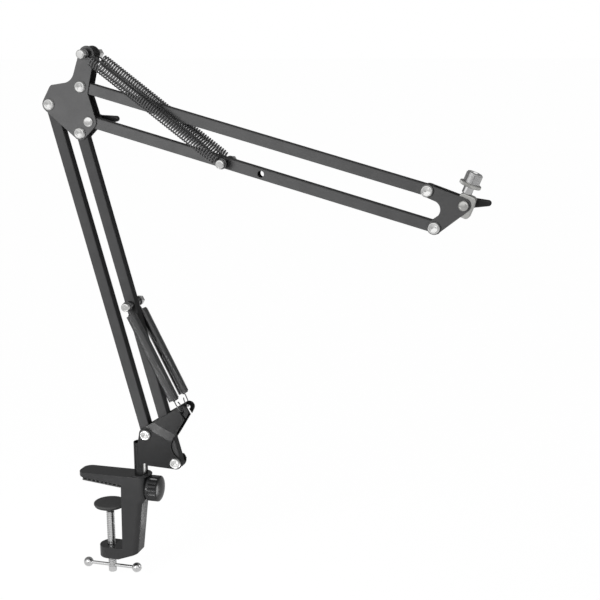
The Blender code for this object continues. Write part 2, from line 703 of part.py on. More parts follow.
def build_bracket(paint):
    """The folded base bracket: two cheeks joined by a wrap round the post, joggled out to the hooks."""
    relief_x = TONGUE_END + RELIEF_R
    rounds = [(0, 0, BASE_ROUND_R), (POST_OFFSET, WRAP_TOP, 0), (POST_OFFSET, BRACKET_BOTTOM - 2, 0),
              (TONGUE_END + 0.1, BRACKET_BOTTOM - 2, 0), (relief_x + 0.1, BRACKET_BOTTOM - GAP, -RELIEF_R),
              (relief_x + RELIEF_R + 0.2, BRACKET_BOTTOM, 0), (*BASE_LINK, BASE_LINK_ROUND_R),
              (*WAIST_CENTRE, -WAIST_R), (*SLIT_MOUTH_LEFT, 0), (*HOOK_HOLE, -HOOK_HOLE_R), (*BARB, 0),
              (*SLIT_MOUTH_RIGHT, 0), (*FINGER_CENTRE, FINGER_R)]
    cheek = belt([(*add(B0, (x, z)), r) for x, z, r in rounds], 18)
    reach = HOOK_PLATE_OUT + OVERCUT
    bracket = make_object("base_bracket", prism(cheek, -reach, reach), paint)
    sheets = make_cutter("bracket_sheets_cutter", bracket_sheet(FRONT))
    cut(sheets, bracket_sheet(BACK), "UNION")
    combine(bracket, sheets, "INTERSECT")
    wrap = []
    for radius, order in ((PLATE_OUT, 1), (PLATE_IN, -1)):
        arc = [(B0[0] + TONGUE_END, radius)]
        for k in range(13):
            angle = math.pi * k / 12
            arc.append((POST_X - radius * math.sin(angle), radius * math.cos(angle)))
        arc.append((B0[0] + TONGUE_END, -radius))
        wrap += arc[::order]
    cut(bracket, plan_prism(wrap, B0[1] + COLLAR_TOP, B0[1] + WRAP_TOP), "UNION")
    for centre in (B0, B1):
        hole(bracket, centre, HOLE_R, 14)
    return bracket


def leaned(x, z):
    """The (X, Z) place of a point that is given in the leaning swivel block's own frame."""
    along = polar(x, -TILT_DEGREES)
    up = polar(z, 90 - TILT_DEGREES)
    return add(add(TILT, along), up)


def on_stud(profile, segments):
    """A turned bmesh on the leaning stud's axis."""
    origin_x, origin_z = leaned(STUD_OFFSET, 0)
    axis = polar(1.0, 90 - TILT_DEGREES)
    return lathe(profile, segments, (axis[0], 0, axis[1]), (origin_x, 0, origin_z))


def build_swivel_block(silver):
    """The block that turns between the head plates on the tilt bolt, drilled for the stud's spigot."""
    left, right, bottom, top = BLOCK
    r = BLOCK_CORNER
    corners = [(left + r, bottom + r), (right - r, bottom + r), (right - r, top - r), (left + r, top - r)]
    outline = belt([(*leaned(x, z), r) for x, z in corners], MIDDLE_STEP)
    bm = prism(outline, -TUBE_DEPTH / 2, TUBE_DEPTH / 2)
    rims = [edge for edge in bm.edges if edge.verts[0].co.y == edge.verts[1].co.y]
    bmesh.ops.bevel(bm, geom=rims, offset=CHAMFER, segments=1, affect="EDGES")
    block = make_object("swivel_block", bm, silver)
    hole(block, TILT, HOLE_R)
    return cut(block, on_stud([(HOLE_R, HOLE_R + SPIGOT_WALL - GAP), (HOLE_R, top + OVERCUT)], 14))


def build_mic_stud(chrome):
    """The stud that stands on the swivel block and ends in the microphone thread."""
    block_top = BLOCK[3]
    thread_foot = STUD_RING_Z - GAP
    thread_top = STUD_RING_Z + RING_HEIGHT + MIC_THREAD_LENGTH
    profile = [(BOLT_R, HOLE_R + SPIGOT_WALL), (BOLT_R, block_top + GAP), (STUD_R, block_top + GAP),
               (STUD_R, thread_foot), (MIC_THREAD_R - CHAMFER, thread_foot),
               (MIC_THREAD_R, thread_foot + CHAMFER),
               (MIC_THREAD_R, thread_top - CHAMFER), (MIC_THREAD_R - CHAMFER, thread_top)]
    return make_object("mic_stud", on_stud(profile, 20), chrome)


def build_lock_ring(silver):
    """The knurled ring that locks the microphone's clip on the thread."""
    top = STUD_RING_Z + RING_HEIGHT
    edge = 0.5
    profile = [(RING_R - edge, STUD_RING_Z), (RING_R, STUD_RING_Z + edge), (RING_R, top - edge),
               (RING_R - edge, top)]
    ring = make_object("lock_ring", on_stud(profile, 28), silver)
    bore_r = MIC_THREAD_R + GAP
    return cut(ring, on_stud([(bore_r, STUD_RING_Z - OVERCUT), (bore_r, top + OVERCUT)], 20))


def anchor_set(name, centre, outer_sleeve, seat, bright, black):
    """A spring anchor: a long bolt across the arm, its nut, and a spacer up to each spring's end loop.

    The seat is the outer face of what the bolt goes through. The outer sleeves, beyond the end loops, are
    turned in one with the bolt's head and with the nut.
    """
    x, z = centre
    eye_near = SPRING_Y - WIRE_R - GAP
    eye_far = SPRING_Y + WIRE_R + GAP
    half = eye_far + outer_sleeve
    end = half + NUT_HEIGHT + THREAD_STICKOUT
    bolt = [(BOLT_R - LIP, end), (BOLT_R, end - LIP), (BOLT_R, -eye_far), (SLEEVE_R, -eye_far),
            (SLEEVE_R, -half), (ANCHOR_HEAD_R, -half), (ANCHOR_HEAD_R, -half - ANCHOR_HEAD_HEIGHT * 0.6),
            (ANCHOR_HEAD_R * 0.72, -half - ANCHOR_HEAD_HEIGHT)]
    flanged_nut = [(SLEEVE_R, eye_far), (SLEEVE_R, half), (ANCHOR_NUT_R, half),
                   (ANCHOR_NUT_R, half + NUT_HEIGHT)]
    nut_object = make_object(f"{name}_nut", lathe(flanged_nut, 12, (0, 1, 0), (x, 0, z)), bright)
    cut(nut_object, lathe([(HOLE_R, 0), (HOLE_R, end + OVERCUT)], 12, (0, 1, 0), (x, 0, z)))
    pieces = [make_object(f"{name}_bolt", lathe(bolt, 14, (0, 1, 0), (x, 0, z)), bright), nut_object]
    for label, side in SIDES:
        pieces.append(sleeve(f"{name}_spacer_{label}", centre, side * (seat + GAP), side * eye_near, SLEEVE_R,
                             14, black))
    return pieces


def pivot_pair(name, centre, finish):
    """The bolt and the nut of one pivot."""
    return [pivot_bolt(f"{name}_bolt", centre, finish["zinc"]),
            nut(f"{name}_nut", centre, finish["spring_steel"])]


def make_finishes():
    """Every finish by name."""
    table = {
        "lower_arm_paint": ((0.095, 0.095, 0.095), 0.55, 0.0),
        "upper_arm_paint": ((0.14, 0.14, 0.14), 0.55, 0.0),
        "bracket_paint": ((0.045, 0.045, 0.045), 0.5, 0.0),
        "clamp_paint": ((0.065, 0.065, 0.065), 0.5, 0.0),
        "plastic": ((0.02, 0.02, 0.02), 0.4, 0.0),
        "rubber": ((0.03, 0.03, 0.03), 0.85, 0.0),
        "zinc": ((0.8, 0.8, 0.78), 0.3, 1.0),
        "chrome": ((0.75, 0.75, 0.75), 0.12, 1.0),
        "silver": ((0.6, 0.6, 0.59), 0.4, 1.0),
        "spring_steel": ((0.2, 0.2, 0.2), 0.3, 1.0),
    }
    return {name: Finish(name, *values) for name, values in table.items()}


def assemble_clamp(finish):
    """The clamp with its knob, disc, screw and tommy bar; returns its body."""
    clamp = Body("clamp", (0, 0, 0))
    clamp.hold(build_clamp_frame(finish["clamp_paint"]), build_jaw_pad(finish["rubber"]))
    knob = Body("lock_knob_body", (COLUMN_OUTER_HEAD, 0, KNOB_Z), clamp)
    knob.hold(*build_lock_knob(finish["plastic"], finish["zinc"]))
    disc = Body("disc_body", (0, 0, DISC_TOP), clamp)
    disc.hold(*build_pressure_disc(finish["clamp_paint"], finish["rubber"]))
    screw = Body("screw_body", (0, 0, TOMMY_Z), disc)
    screw.hold(build_clamp_screw(finish["chrome"]))
    Body("tommy_body", (0, 0, TOMMY_Z), screw).hold(build_tommy_bar(finish["chrome"]))
    return clamp


def assemble_base(clamp, finish):
    """The post and the base bracket that turn in the clamp; returns their body."""
    swivel = Body("swivel_base", (POST_X, 0, RIM_TOP), clamp)
    foot = RIM_TOP - POST_BORE_DEPTH + GAP
    top = B0[1] + WRAP_TOP
    post = [(POST_R - CHAMFER, foot), (POST_R, foot + CHAMFER),
            (POST_R, top - CHAMFER), (POST_R - CHAMFER, top)]
    swivel.hold(make_object("pivot_post", lathe(post, 24, origin=(POST_X, 0, 0)), finish["zinc"]))
    swivel.hold(build_bracket(finish["bracket_paint"]))
    swivel.hold(*pivot_pair("base_upper", B0, finish), *pivot_pair("base_lower", B1, finish))
    return swivel


def assemble_lower_arm(swivel, finish):
    """The two bars of the lower arm; returns the bodies of the left and the right one."""
    paint = finish["lower_arm_paint"]
    left = Body("lower_left_bar", (B0[0], 0, B0[1]), swivel)
    left.hold(tube_bar("lower_arm_left_bar", B0, LOWER_DIR, LOWER_ARM_LENGTH, LOWER_TUBE_HEIGHT, paint,
                       (0, LOWER_ARM_LENGTH)))
    right = Body("lower_right_bar", (B1[0], 0, B1[1]), swivel)
    right.hold(tube_bar("lower_arm_right_bar", B1, LOWER_DIR, LOWER_ARM_LENGTH, LOWER_TUBE_HEIGHT, paint,
                        (0, LOWER_ARM_LENGTH, LOWER_ANCHOR_SHARE)))
    right.hold(*anchor_set("lower_anchor", ANCHOR_LOWER, BAR_ANCHOR_SLEEVE, TUBE_DEPTH / 2, finish["zinc"],
                           finish["spring_steel"]))
    return left, right


def assemble_elbow(left_bar, finish):
    """The elbow plates with their fasteners, the springs' top anchor and the wing knob; returns the body."""
    elbow = Body("elbow", (E0[0], 0, E0[1]), left_bar)
    rounds = [(*ANCHOR_TOP, ELBOW_ANCHOR_ROUND_R), (*add(E0, ELBOW_LEFT_HOLLOW), ELBOW_LEFT_HOLLOW[2]),
              (*add(E0, ELBOW_LEFT_SHOULDER), ELBOW_LEFT_SHOULDER[2]), (*E0, ELBOW_LEFT_ROUND_R),
              (*E1, ELBOW_BOTTOM_ROUND_R), (*U1, ELBOW_KNOB_ROUND_R),
              (*add(U1, ELBOW_RIGHT_HOLLOW), ELBOW_RIGHT_HOLLOW[2])]
    for label, side in SIDES:
        elbow.hold(plate(f"elbow_plate_{label}", rounds, side, (E0, E1, U0, U1, ANCHOR_TOP),
                         finish["upper_arm_paint"]))
    for label, centre in (("left", E0), ("bottom", E1), ("top", U0)):
        elbow.hold(*pivot_pair(f"elbow_{label}", centre, finish))
    elbow.hold(domed_bolt("elbow_clamp_bolt", U1, CLAMP_HEAD_R, CLAMP_HEAD_HEIGHT, finish["zinc"]))
    elbow.hold(*anchor_set("top_anchor", ANCHOR_TOP, TOP_ANCHOR_SLEEVE, PLATE_OUT, finish["zinc"],
                           finish["spring_steel"]))
    wing = Body("elbow_wing", (U1[0], 0, U1[1]), elbow)
    wing.hold(wing_knob("elbow_wing_knob", U1, ELBOW_WING_TURN, finish["plastic"]))
    return elbow


def assemble_upper_arm(elbow, finish):
    """The two bars of the upper arm; returns the top bar's body."""
    paint = finish["upper_arm_paint"]
    top_bar = Body("upper_top_bar", (U0[0], 0, U0[1]), elbow)
    top_bar.hold(tube_bar("upper_arm_top_bar", U0, UPPER_DIR, UPPER_ARM_LENGTH, UPPER_TUBE_HEIGHT, paint,
                          (0, UPPER_ARM_LENGTH)))
    bottom_bar = Body("upper_bottom_bar", (U1[0], 0, U1[1]), elbow)
    bar_holes = (0, UPPER_ARM_LENGTH, BOOM_ANCHOR_SHARE, SPARE_HOLE_SHARE)
    bottom_bar.hold(tube_bar("upper_arm_bottom_bar", U1, UPPER_DIR, UPPER_ARM_LENGTH, UPPER_TUBE_HEIGHT,
                             paint, bar_holes))
    bottom_bar.hold(*anchor_set("boom_anchor", ANCHOR_BOOM, BAR_ANCHOR_SLEEVE, TUBE_DEPTH / 2, finish["zinc"],
                                finish["spring_steel"]))
    return top_bar


def assemble_head(top_bar, finish):
    """The head plates with their fasteners, the tilting block with its stud, the ring and the wing knob."""
    head = Body("head", (H0[0], 0, H0[1]), top_bar)
    rounds = [(*TILT, HEAD_TILT_ROUND_R), (*H0, HEAD_TOP_ROUND_R), (*add(H0, HEAD_NOTCH), HEAD_NOTCH[2]),
              (*H1, HEAD_BOTTOM_ROUND_R)]
    for label, side in SIDES:
        head.hold(plate(f"head_plate_{label}", rounds, side, (H0, H1, TILT), finish["upper_arm_paint"]))
    head.hold(*pivot_pair("head_top", H0, finish), *pivot_pair("head_bottom", H1, finish))
    head.hold(domed_bolt("tilt_bolt", TILT, TILT_HEAD_R, TILT_HEAD_HEIGHT, finish["silver"]))
    wing = Body("tilt_wing", (TILT[0], 0, TILT[1]), head)
    wing.hold(wing_knob("tilt_wing_knob", TILT, 0.0, finish["plastic"]))
    swivel = Body("mic_swivel", (TILT[0], 0, TILT[1]), head)
    swivel.hold(build_swivel_block(finish["silver"]), build_mic_stud(finish["chrome"]))
    ring_x, ring_z = leaned(STUD_OFFSET, STUD_RING_Z + RING_HEIGHT / 2)
    Body("ring_body", (ring_x, 0, ring_z), swivel).hold(build_lock_ring(finish["silver"]))


def assemble_springs(parent, name, start, end, radius, turns, coil_end, hook, finish):
    """A pair of springs that swings about its first anchor, and its far ends that slide along it."""
    coils = Body(f"{name}s", (start[0], 0, start[1]), parent)
    ends = Body(f"{name}_ends", (end[0], 0, end[1]), coils)
    for label, side in SIDES:
        coil, far_end = spring(f"{name}_{label}", start, end, side * SPRING_Y, radius, turns, coil_end,
                               finish["spring_steel"], hook)
        coils.hold(coil)
        ends.hold(far_end)


def main():
    """Builds every piece and hangs it on its body."""
    clear_scene()
    finish = make_finishes()
    clamp = assemble_clamp(finish)
    swivel = assemble_base(clamp, finish)
    left_bar, right_bar = assemble_lower_arm(swivel, finish)
    elbow = assemble_elbow(left_bar, finish)
    top_bar = assemble_upper_arm(elbow, finish)
    assemble_head(top_bar, finish)
    assemble_springs(elbow, "upper_spring", ANCHOR_TOP, ANCHOR_BOOM, UPPER_SPRING_R, UPPER_TURNS,
                     UPPER_COIL_END, False, finish)
    assemble_springs(right_bar, "lower_spring", ANCHOR_LOWER, HOOK, LOWER_SPRING_R, LOWER_TURNS,
                     LOWER_COIL_END, True, finish)


main()
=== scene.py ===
"""Fine shapes and finishes of a spring-balanced desk arm for a microphone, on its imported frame.

The arm lies in the plane Y = 0, with +X from the desk's edge to the microphone, +Y away from the viewer
and +Z up. Sizes are in millimetres and are scaled to metres where the meshes are made. Blender 4.5.
"""
import logging
import math
from collections.abc import Callable, Sequence
from dataclasses import dataclass
from enum import Enum

import bmesh
import bpy
from bmesh.types import BMEdge, BMesh, BMVert
from bpy.types import ID, Material, Node, NodeSocket, NodeTree, Object
from mathutils import Matrix, Vector

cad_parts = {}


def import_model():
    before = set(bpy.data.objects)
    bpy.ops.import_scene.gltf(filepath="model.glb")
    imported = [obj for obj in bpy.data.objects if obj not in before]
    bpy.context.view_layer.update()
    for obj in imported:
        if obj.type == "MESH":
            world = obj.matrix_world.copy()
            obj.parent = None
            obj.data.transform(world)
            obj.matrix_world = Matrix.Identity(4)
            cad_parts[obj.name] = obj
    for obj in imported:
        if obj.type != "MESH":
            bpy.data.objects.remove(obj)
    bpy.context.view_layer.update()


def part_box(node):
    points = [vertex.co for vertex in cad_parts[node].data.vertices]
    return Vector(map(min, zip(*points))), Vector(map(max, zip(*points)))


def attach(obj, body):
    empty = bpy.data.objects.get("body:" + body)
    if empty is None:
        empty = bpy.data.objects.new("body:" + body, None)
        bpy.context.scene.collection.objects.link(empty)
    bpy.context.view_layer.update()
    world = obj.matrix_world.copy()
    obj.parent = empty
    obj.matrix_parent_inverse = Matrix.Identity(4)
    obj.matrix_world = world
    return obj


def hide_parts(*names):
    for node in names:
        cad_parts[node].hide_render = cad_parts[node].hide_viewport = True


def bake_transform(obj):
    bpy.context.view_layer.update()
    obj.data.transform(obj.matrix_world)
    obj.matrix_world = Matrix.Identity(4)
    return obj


LOG = logging.getLogger("desk_arm")

MM = 0.001
GAP = 0.3                 # clearance between neighbouring pieces
PAST = 5.0                # by which a cutter passes the faces that it cuts
THROUGH = (-20.0, 20.0)   # a cutter's span through both plates
WELD = 1e-4               # vertices nearer to each other than this are one
TINY = 1e-5
GRAIN = (0.3, 0.7)        # the middle of a noise's values
BUMP = 0.8                # strength of every relief
UP = Vector((0.0, 0.0, 1.0))
BACKWARD = Vector((0.0, 1.0, 0.0))
RIGHT = Vector((1.0, 0.0, 0.0))

Point = tuple[float, float]                   # X and Z in the arm's plane, or X and Y in a plan
Place = tuple[float, float, float]
Circle = tuple[float, float, float]
Colour = tuple[float, float, float]
Amount = float | Callable[[float], float]     # a length, or one that changes with the angle
Profile = Sequence[tuple[Amount, Amount]]     # (radius, height) pairs
Value = float | Sequence[float] | NodeSocket  # what a node's input takes


class Side(Enum):
    """The two sides of the arm, with the sign of Y on each."""

    FRONT = -1
    BACK = 1

    @property
    def label(self) -> str:
        """The word for this side in the names of nodes and pieces."""
        return self.name.lower()


class Relief(Enum):
    """What a finish feels like under a fingertip."""

    PEBBLED = "pebbled"
    HATCHED = "hatched"
    BRUSHED = "brushed"
    SMOOTH = "smooth"


def on_circle(radius: float, angle: float) -> Point:
    """Gives the point at an angle in radians on a circle about the origin."""
    return (radius * math.cos(angle), radius * math.sin(angle))


def polar(length: float, degrees: float) -> Point:
    """Gives the (X, Z) step of a length at an angle from +X toward +Z."""
    return on_circle(length, math.radians(degrees))


def shifted(point: Point, step: Point, share: float = 1.0) -> Point:
    """Gives a point moved by a share of a step."""
    return (point[0] + step[0] * share, point[1] + step[1] * share)


def in_space(point: Point) -> Place:
    """Gives the place in space of a point of the arm's plane."""
    return (point[0], 0.0, point[1])


def centre_of(node: str) -> Point:
    """Gives the (X, Z) centre of a node of the frame, in millimetres."""
    low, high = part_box(node)
    return ((low.x + high.x) / 2 / MM, (low.z + high.z) / 2 / MM)


def belt(circles: Sequence[Circle], step: float = 5.0) -> list[Point]:
    """Gives the outline that runs counter-clockwise round circles, joined by tangent lines.

    Args:
        circles: (x, z, radius) of each. A negative radius is a hollow, and a zero radius a corner.
        step: The most that one piece of an arc may turn, in degrees.

    Returns:
        The outline's points in order.
    """
    count = len(circles)
    headings = []
    for i, (x0, z0, r0) in enumerate(circles):
        x1, z1, r1 = circles[(i + 1) % count]
        distance = math.hypot(x1 - x0, z1 - z0)
        headings.append(math.atan2(z1 - z0, x1 - x0) - math.asin((r1 - r0) / distance))
    outline = []
    for i, (x, z, r) in enumerate(circles):
        if r == 0:
            outline.append((x, z))
            continue
        turn = (headings[i] - headings[i - 1]) % math.tau
        if r < 0:
            turn -= math.tau
        pieces = max(2, round(abs(math.degrees(turn)) / step))
        for k in range(pieces + 1):
            heading = headings[i - 1] + turn * k / pieces
            outline.append((x + r * math.sin(heading), z - r * math.cos(heading)))
    return outline


def filleted(corners: Sequence[Circle], step: float = 8.0) -> list[Point]:
    """Gives a polygon's outline with its corners rounded.

    Args:
        corners: (x, z, radius) of each corner, with radius 0 for a sharp one.
        step: The most that one piece of an arc may turn, in degrees.

    Returns:
        The outline's points in order.
    """
    outline = []
    for i, (x, z, radius) in enumerate(corners):
        here = Vector((x, z))
        if radius == 0:
            outline.append((x, z))
            continue
        before = (Vector(corners[i - 1][:2]) - here).normalized()
        after = (Vector(corners[(i + 1) % len(corners)][:2]) - here).normalized()
        half = before.angle(after) / 2
        middle = here + (before + after).normalized() * (radius / math.sin(half))
        first = here + before * (radius / math.tan(half)) - middle
        last = here + after * (radius / math.tan(half)) - middle
        turn = math.atan2(first.cross(last), first.dot(last))
        pieces = max(2, round(abs(math.degrees(turn)) / step))
        start = math.atan2(first.y, first.x)
        for k in range(pieces + 1):
            outline.append(shifted(tuple(middle), on_circle(radius, start + turn * k / pieces)))
    return outline


def value_at(amount: Amount, angle: float) -> float:
    """Gives a length, or what a length that changes is at an angle."""
    return amount(angle) if callable(amount) else amount


def hexagon(corner: float) -> Callable[[float], float]:
    """Gives the radius of a hexagon by angle, from its radius at the corners."""
    flat = corner * math.cos(math.pi / 6)
    return lambda angle: flat / math.cos(angle % (math.pi / 3) - math.pi / 6)


def skin(bm: BMesh, lower: Sequence[BMVert], upper: Sequence[BMVert]) -> None:
    """Adds the faces between two rings of vertices, of which one may be a single point."""
    count = max(len(lower), len(upper))
    for k in range(count):
        m = (k + 1) % count
        corners = (lower[k % len(lower)], lower[m % len(lower)], upper[m % len(upper)], upper[k % len(upper)])
        corners = list(dict.fromkeys(corners))
        if len(corners) > 2:
            bm.faces.new(corners)


def ring_of(bm: BMesh, radius: Amount, height: Amount, segments: int) -> list[BMVert]:
    """Adds a ring of vertices about Z, or one vertex where the radius is zero."""
    if radius == 0:
        return [bm.verts.new((0, 0, value_at(height, 0)))]
    ring = []
    for k in range(segments):
        angle = math.tau * k / segments
        ring.append(bm.verts.new((*on_circle(value_at(radius, angle), angle), value_at(height, angle))))
    return ring


def seated(bm: BMesh, axis: Vector, origin: Sequence[float]) -> BMesh:
    """Turns a shape made about Z to an axis, and moves it to its origin."""
    turn = UP.rotation_difference(axis).to_matrix().to_4x4()
    bmesh.ops.transform(bm, matrix=Matrix.Translation(origin) @ turn, verts=bm.verts)
    return bm


def turned(profile: Profile, segments: int = 48, axis: Vector = UP, origin: Sequence[float] = (0, 0, 0),
           hollow: bool = False) -> BMesh:
    """Makes a turned shape.

    Args:
        profile: (radius, height) pairs from one end to the other.
        segments: Number of vertices around.
        axis: Direction that height is measured along.
        origin: Where height 0 lies.
        hollow: Whether the profile closes on itself, as a ring's does.

    Returns:
        The closed shape.
    """
    bm = bmesh.new()
    rings = [ring_of(bm, radius, height, segments) for radius, height in profile]
    for lower, upper in zip(rings, rings[1:]):
        skin(bm, lower, upper)
    if hollow:
        skin(bm, rings[-1], rings[0])
    else:
        for end in (rings[0], rings[-1]):
            if len(end) > 1:
                bm.faces.new(end)
    return seated(bm, axis, origin)


@dataclass(frozen=True)
class ThreadForm:
    """A screw thread: its crest and root radii and its pitch, in millimetres."""

    crest: float
    root: float
    pitch: float
    root_flat: float = 0.1        # shares of the pitch at which the flanks begin and end
    crest_start: float = 0.42
    crest_end: float = 0.68

    def rod(self, low: float, high: float, foot: Profile, head: Profile, segments: int = 32) -> BMesh:
        """Makes a threaded stretch about Z between two plain turned ends.

        Args:
            low: Height at which the thread starts.
            high: Height at which it ends.
            foot: The plain profile below it, from the thread downward.
            head: The plain profile above it, from the thread upward.
            segments: Number of vertices around.

        Returns:
            The closed shape.
        """
        bm = bmesh.new()
        steps = ((0.0, self.root), (self.root_flat, self.root), (self.crest_start, self.crest),
                 (self.crest_end, self.crest))
        rows = []
        for row in range(len(steps) * (math.ceil((high - low) / self.pitch) + 1) + 1):
            whole, part = divmod(row, len(steps))
            share, radius = steps[part]
            ring = []
            for k in range(segments):
                height = low + self.pitch * (whole - 1 + share + k / segments)
                r = radius if low < height < high else self.root
                height = min(max(height, low), high)
                ring.append(bm.verts.new((*on_circle(r, math.tau * k / segments), height)))
            rows.append(ring)
        for row, (lower, upper) in enumerate(zip(rows, rows[1:])):
            for k in range(segments - 1):
                bm.faces.new((lower[k], lower[k + 1], upper[k + 1], upper[k]))
            if row + len(steps) + 1 < len(rows):
                far_lower = rows[row + len(steps)][0]
                far_upper = rows[row + len(steps) + 1][0]
                bm.faces.new((lower[-1], far_lower, far_upper, upper[-1]))
        bmesh.ops.remove_doubles(bm, verts=bm.verts, dist=WELD)
        bmesh.ops.dissolve_degenerate(bm, edges=bm.edges, dist=TINY)
        for limit, profile in ((low, foot), (high, head)):
            ring = sorted((v for v in bm.verts if abs(v.co.z - limit) < TINY),
                          key=lambda v: math.atan2(v.co.y, v.co.x) % math.tau)
            for radius, height in profile:
                following = [bm.verts.new((*on_circle(radius, math.atan2(v.co.y, v.co.x)), height))
                             for v in ring]
                skin(bm, ring, following)
                ring = following
            bm.faces.new(ring)
        return bm


def extruded(corners: Sequence[Sequence[float]], step: Sequence[float]) -> BMesh:
    """Makes the solid that a flat polygon sweeps when it moves by a step."""
    bm = bmesh.new()
    face = bm.faces.new([bm.verts.new(corner) for corner in corners])
    swept = bmesh.ops.extrude_face_region(bm, geom=[face])
    bmesh.ops.translate(bm, vec=step, verts=[v for v in swept["geom"] if isinstance(v, BMVert)])
    return bm


def prism(outline: Sequence[Point], near: float, far: float, direction: Vector = BACKWARD) -> BMesh:
    """Makes an extruded shape.

    Args:
        outline: (X, Z) points, or (X, Y) points where the direction is up.
        near: Where along the direction it starts.
        far: Where it ends.
        direction: Along Y or along Z.

    Returns:
        The closed shape.
    """
    flat = [(x, near, v) if direction is BACKWARD else (x, v, near) for x, v in outline]
    return extruded(flat, direction * (far - near))


def rim_edges(bm: BMesh) -> list[BMEdge]:
    """Gives the edges that lie in the two flat faces of a prism along Y."""
    return [edge for edge in bm.edges if abs(edge.verts[0].co.y - edge.verts[1].co.y) < TINY]


def rounded(bm: BMesh, edges: Sequence[BMEdge], radius: float, segments: int = 3) -> BMesh:
    """Rounds some edges of a shape."""
    bmesh.ops.bevel(bm, geom=list(edges), offset=radius, segments=segments, profile=0.5, affect="EDGES")
    return bm


def swept_wire(points: Sequence[Vector], radius: float, sides: int = 8) -> BMesh:
    """Makes a round wire along a path, without twist and with closed ends.

    Args:
        points: The path's points.
        radius: The wire's radius.
        sides: Number of sides.

    Returns:
        The closed shape.
    """
    bm = bmesh.new()
    across = None
    rings = []
    for i, point in enumerate(points):
        ahead = (points[min(i + 1, len(points) - 1)] - points[max(i - 1, 0)]).normalized()
        if across is None:
            across = ahead.orthogonal().normalized()
        across = (across - ahead * across.dot(ahead)).normalized()
        other = ahead.cross(across)
        ring = []
        for k in range(sides):
            a, b = on_circle(radius, math.tau * k / sides)
            ring.append(bm.verts.new(point + across * a + other * b))
        rings.append(ring)
    for lower, upper in zip(rings, rings[1:]):
        skin(bm, lower, upper)
    bm.faces.new(rings[0])
    bm.faces.new(rings[-1])
    return bm


def merged(*shapes: BMesh) -> BMesh:
    """Puts several shapes into one."""
    first, *rest = shapes
    for shape in rest:
        mesh = bpy.data.meshes.new("passing")
        shape.to_mesh(mesh)
        shape.free()
        first.from_mesh(mesh)
        bpy.data.meshes.remove(mesh)
    return first


def linked(name: str, data: ID) -> Object:
    """Makes an object in the scene from its data."""
    obj = bpy.data.objects.new(name, data)
    bpy.context.scene.collection.objects.link(obj)
    return obj


def solid(name: str, bm: BMesh) -> Object:
    """Makes an object from a shape in millimetres, at the scene's origin."""
    bmesh.ops.recalc_face_normals(bm, faces=bm.faces)
    bmesh.ops.scale(bm, vec=(MM, MM, MM), verts=bm.verts)
    mesh = bpy.data.meshes.new(name)
    bm.to_mesh(mesh)
    bm.free()
    return linked(name, mesh)


def settle(obj: Object) -> Object:
    """Applies an object's modifiers to its mesh."""
    evaluated = obj.evaluated_get(bpy.context.evaluated_depsgraph_get())
    mesh = bpy.data.meshes.new_from_object(evaluated)
    obj.modifiers.clear()
    old = obj.data
    obj.data = mesh
    bpy.data.meshes.remove(old)
    return obj


def carved(obj: Object, shape: BMesh | Object, operation: str = "DIFFERENCE") -> Object:
    """Cuts a shape in millimetres out of an object, or joins it, or keeps what both share.

    Args:
        obj: The object that is changed.
        shape: The shape, or an object that is used up.
        operation: The boolean's name.

    Returns:
        The object.
    """
    cutter = shape if isinstance(shape, Object) else solid("cutter", shape)
    boolean = obj.modifiers.new("carve", "BOOLEAN")
    boolean.operation = operation
    boolean.solver = "EXACT"
    boolean.object = cutter
    settle(obj)
    bpy.data.meshes.remove(cutter.data)
    return obj


def drilled(obj: Object, radius: float, span: tuple[float, float], segments: int = 40,
            axis: Vector = BACKWARD, origin: Place = (0, 0, 0)) -> Object:
    """Drills a round hole.

    Args:
        obj: The object that is changed.
        radius: The hole's radius.
        span: Where along the axis it starts and ends.
        segments: Number of its sides.
        axis: Its direction.
        origin: Where on its axis the span counts from.

    Returns:
        The object.
    """
    return carved(obj, turned([(radius, end) for end in span], segments, axis, origin))


def eased(obj: Object, width: float, segments: int = 3, angle: float = 30.0) -> Object:
    """Rounds an object's sharp edges by a width in millimetres."""
    bevel = obj.modifiers.new("edges", "BEVEL")
    bevel.width = width * MM
    bevel.segments = segments
    bevel.limit_method = "ANGLE"
    bevel.angle_limit = math.radians(angle)
    bevel.use_clamp_overlap = False
    return settle(obj)


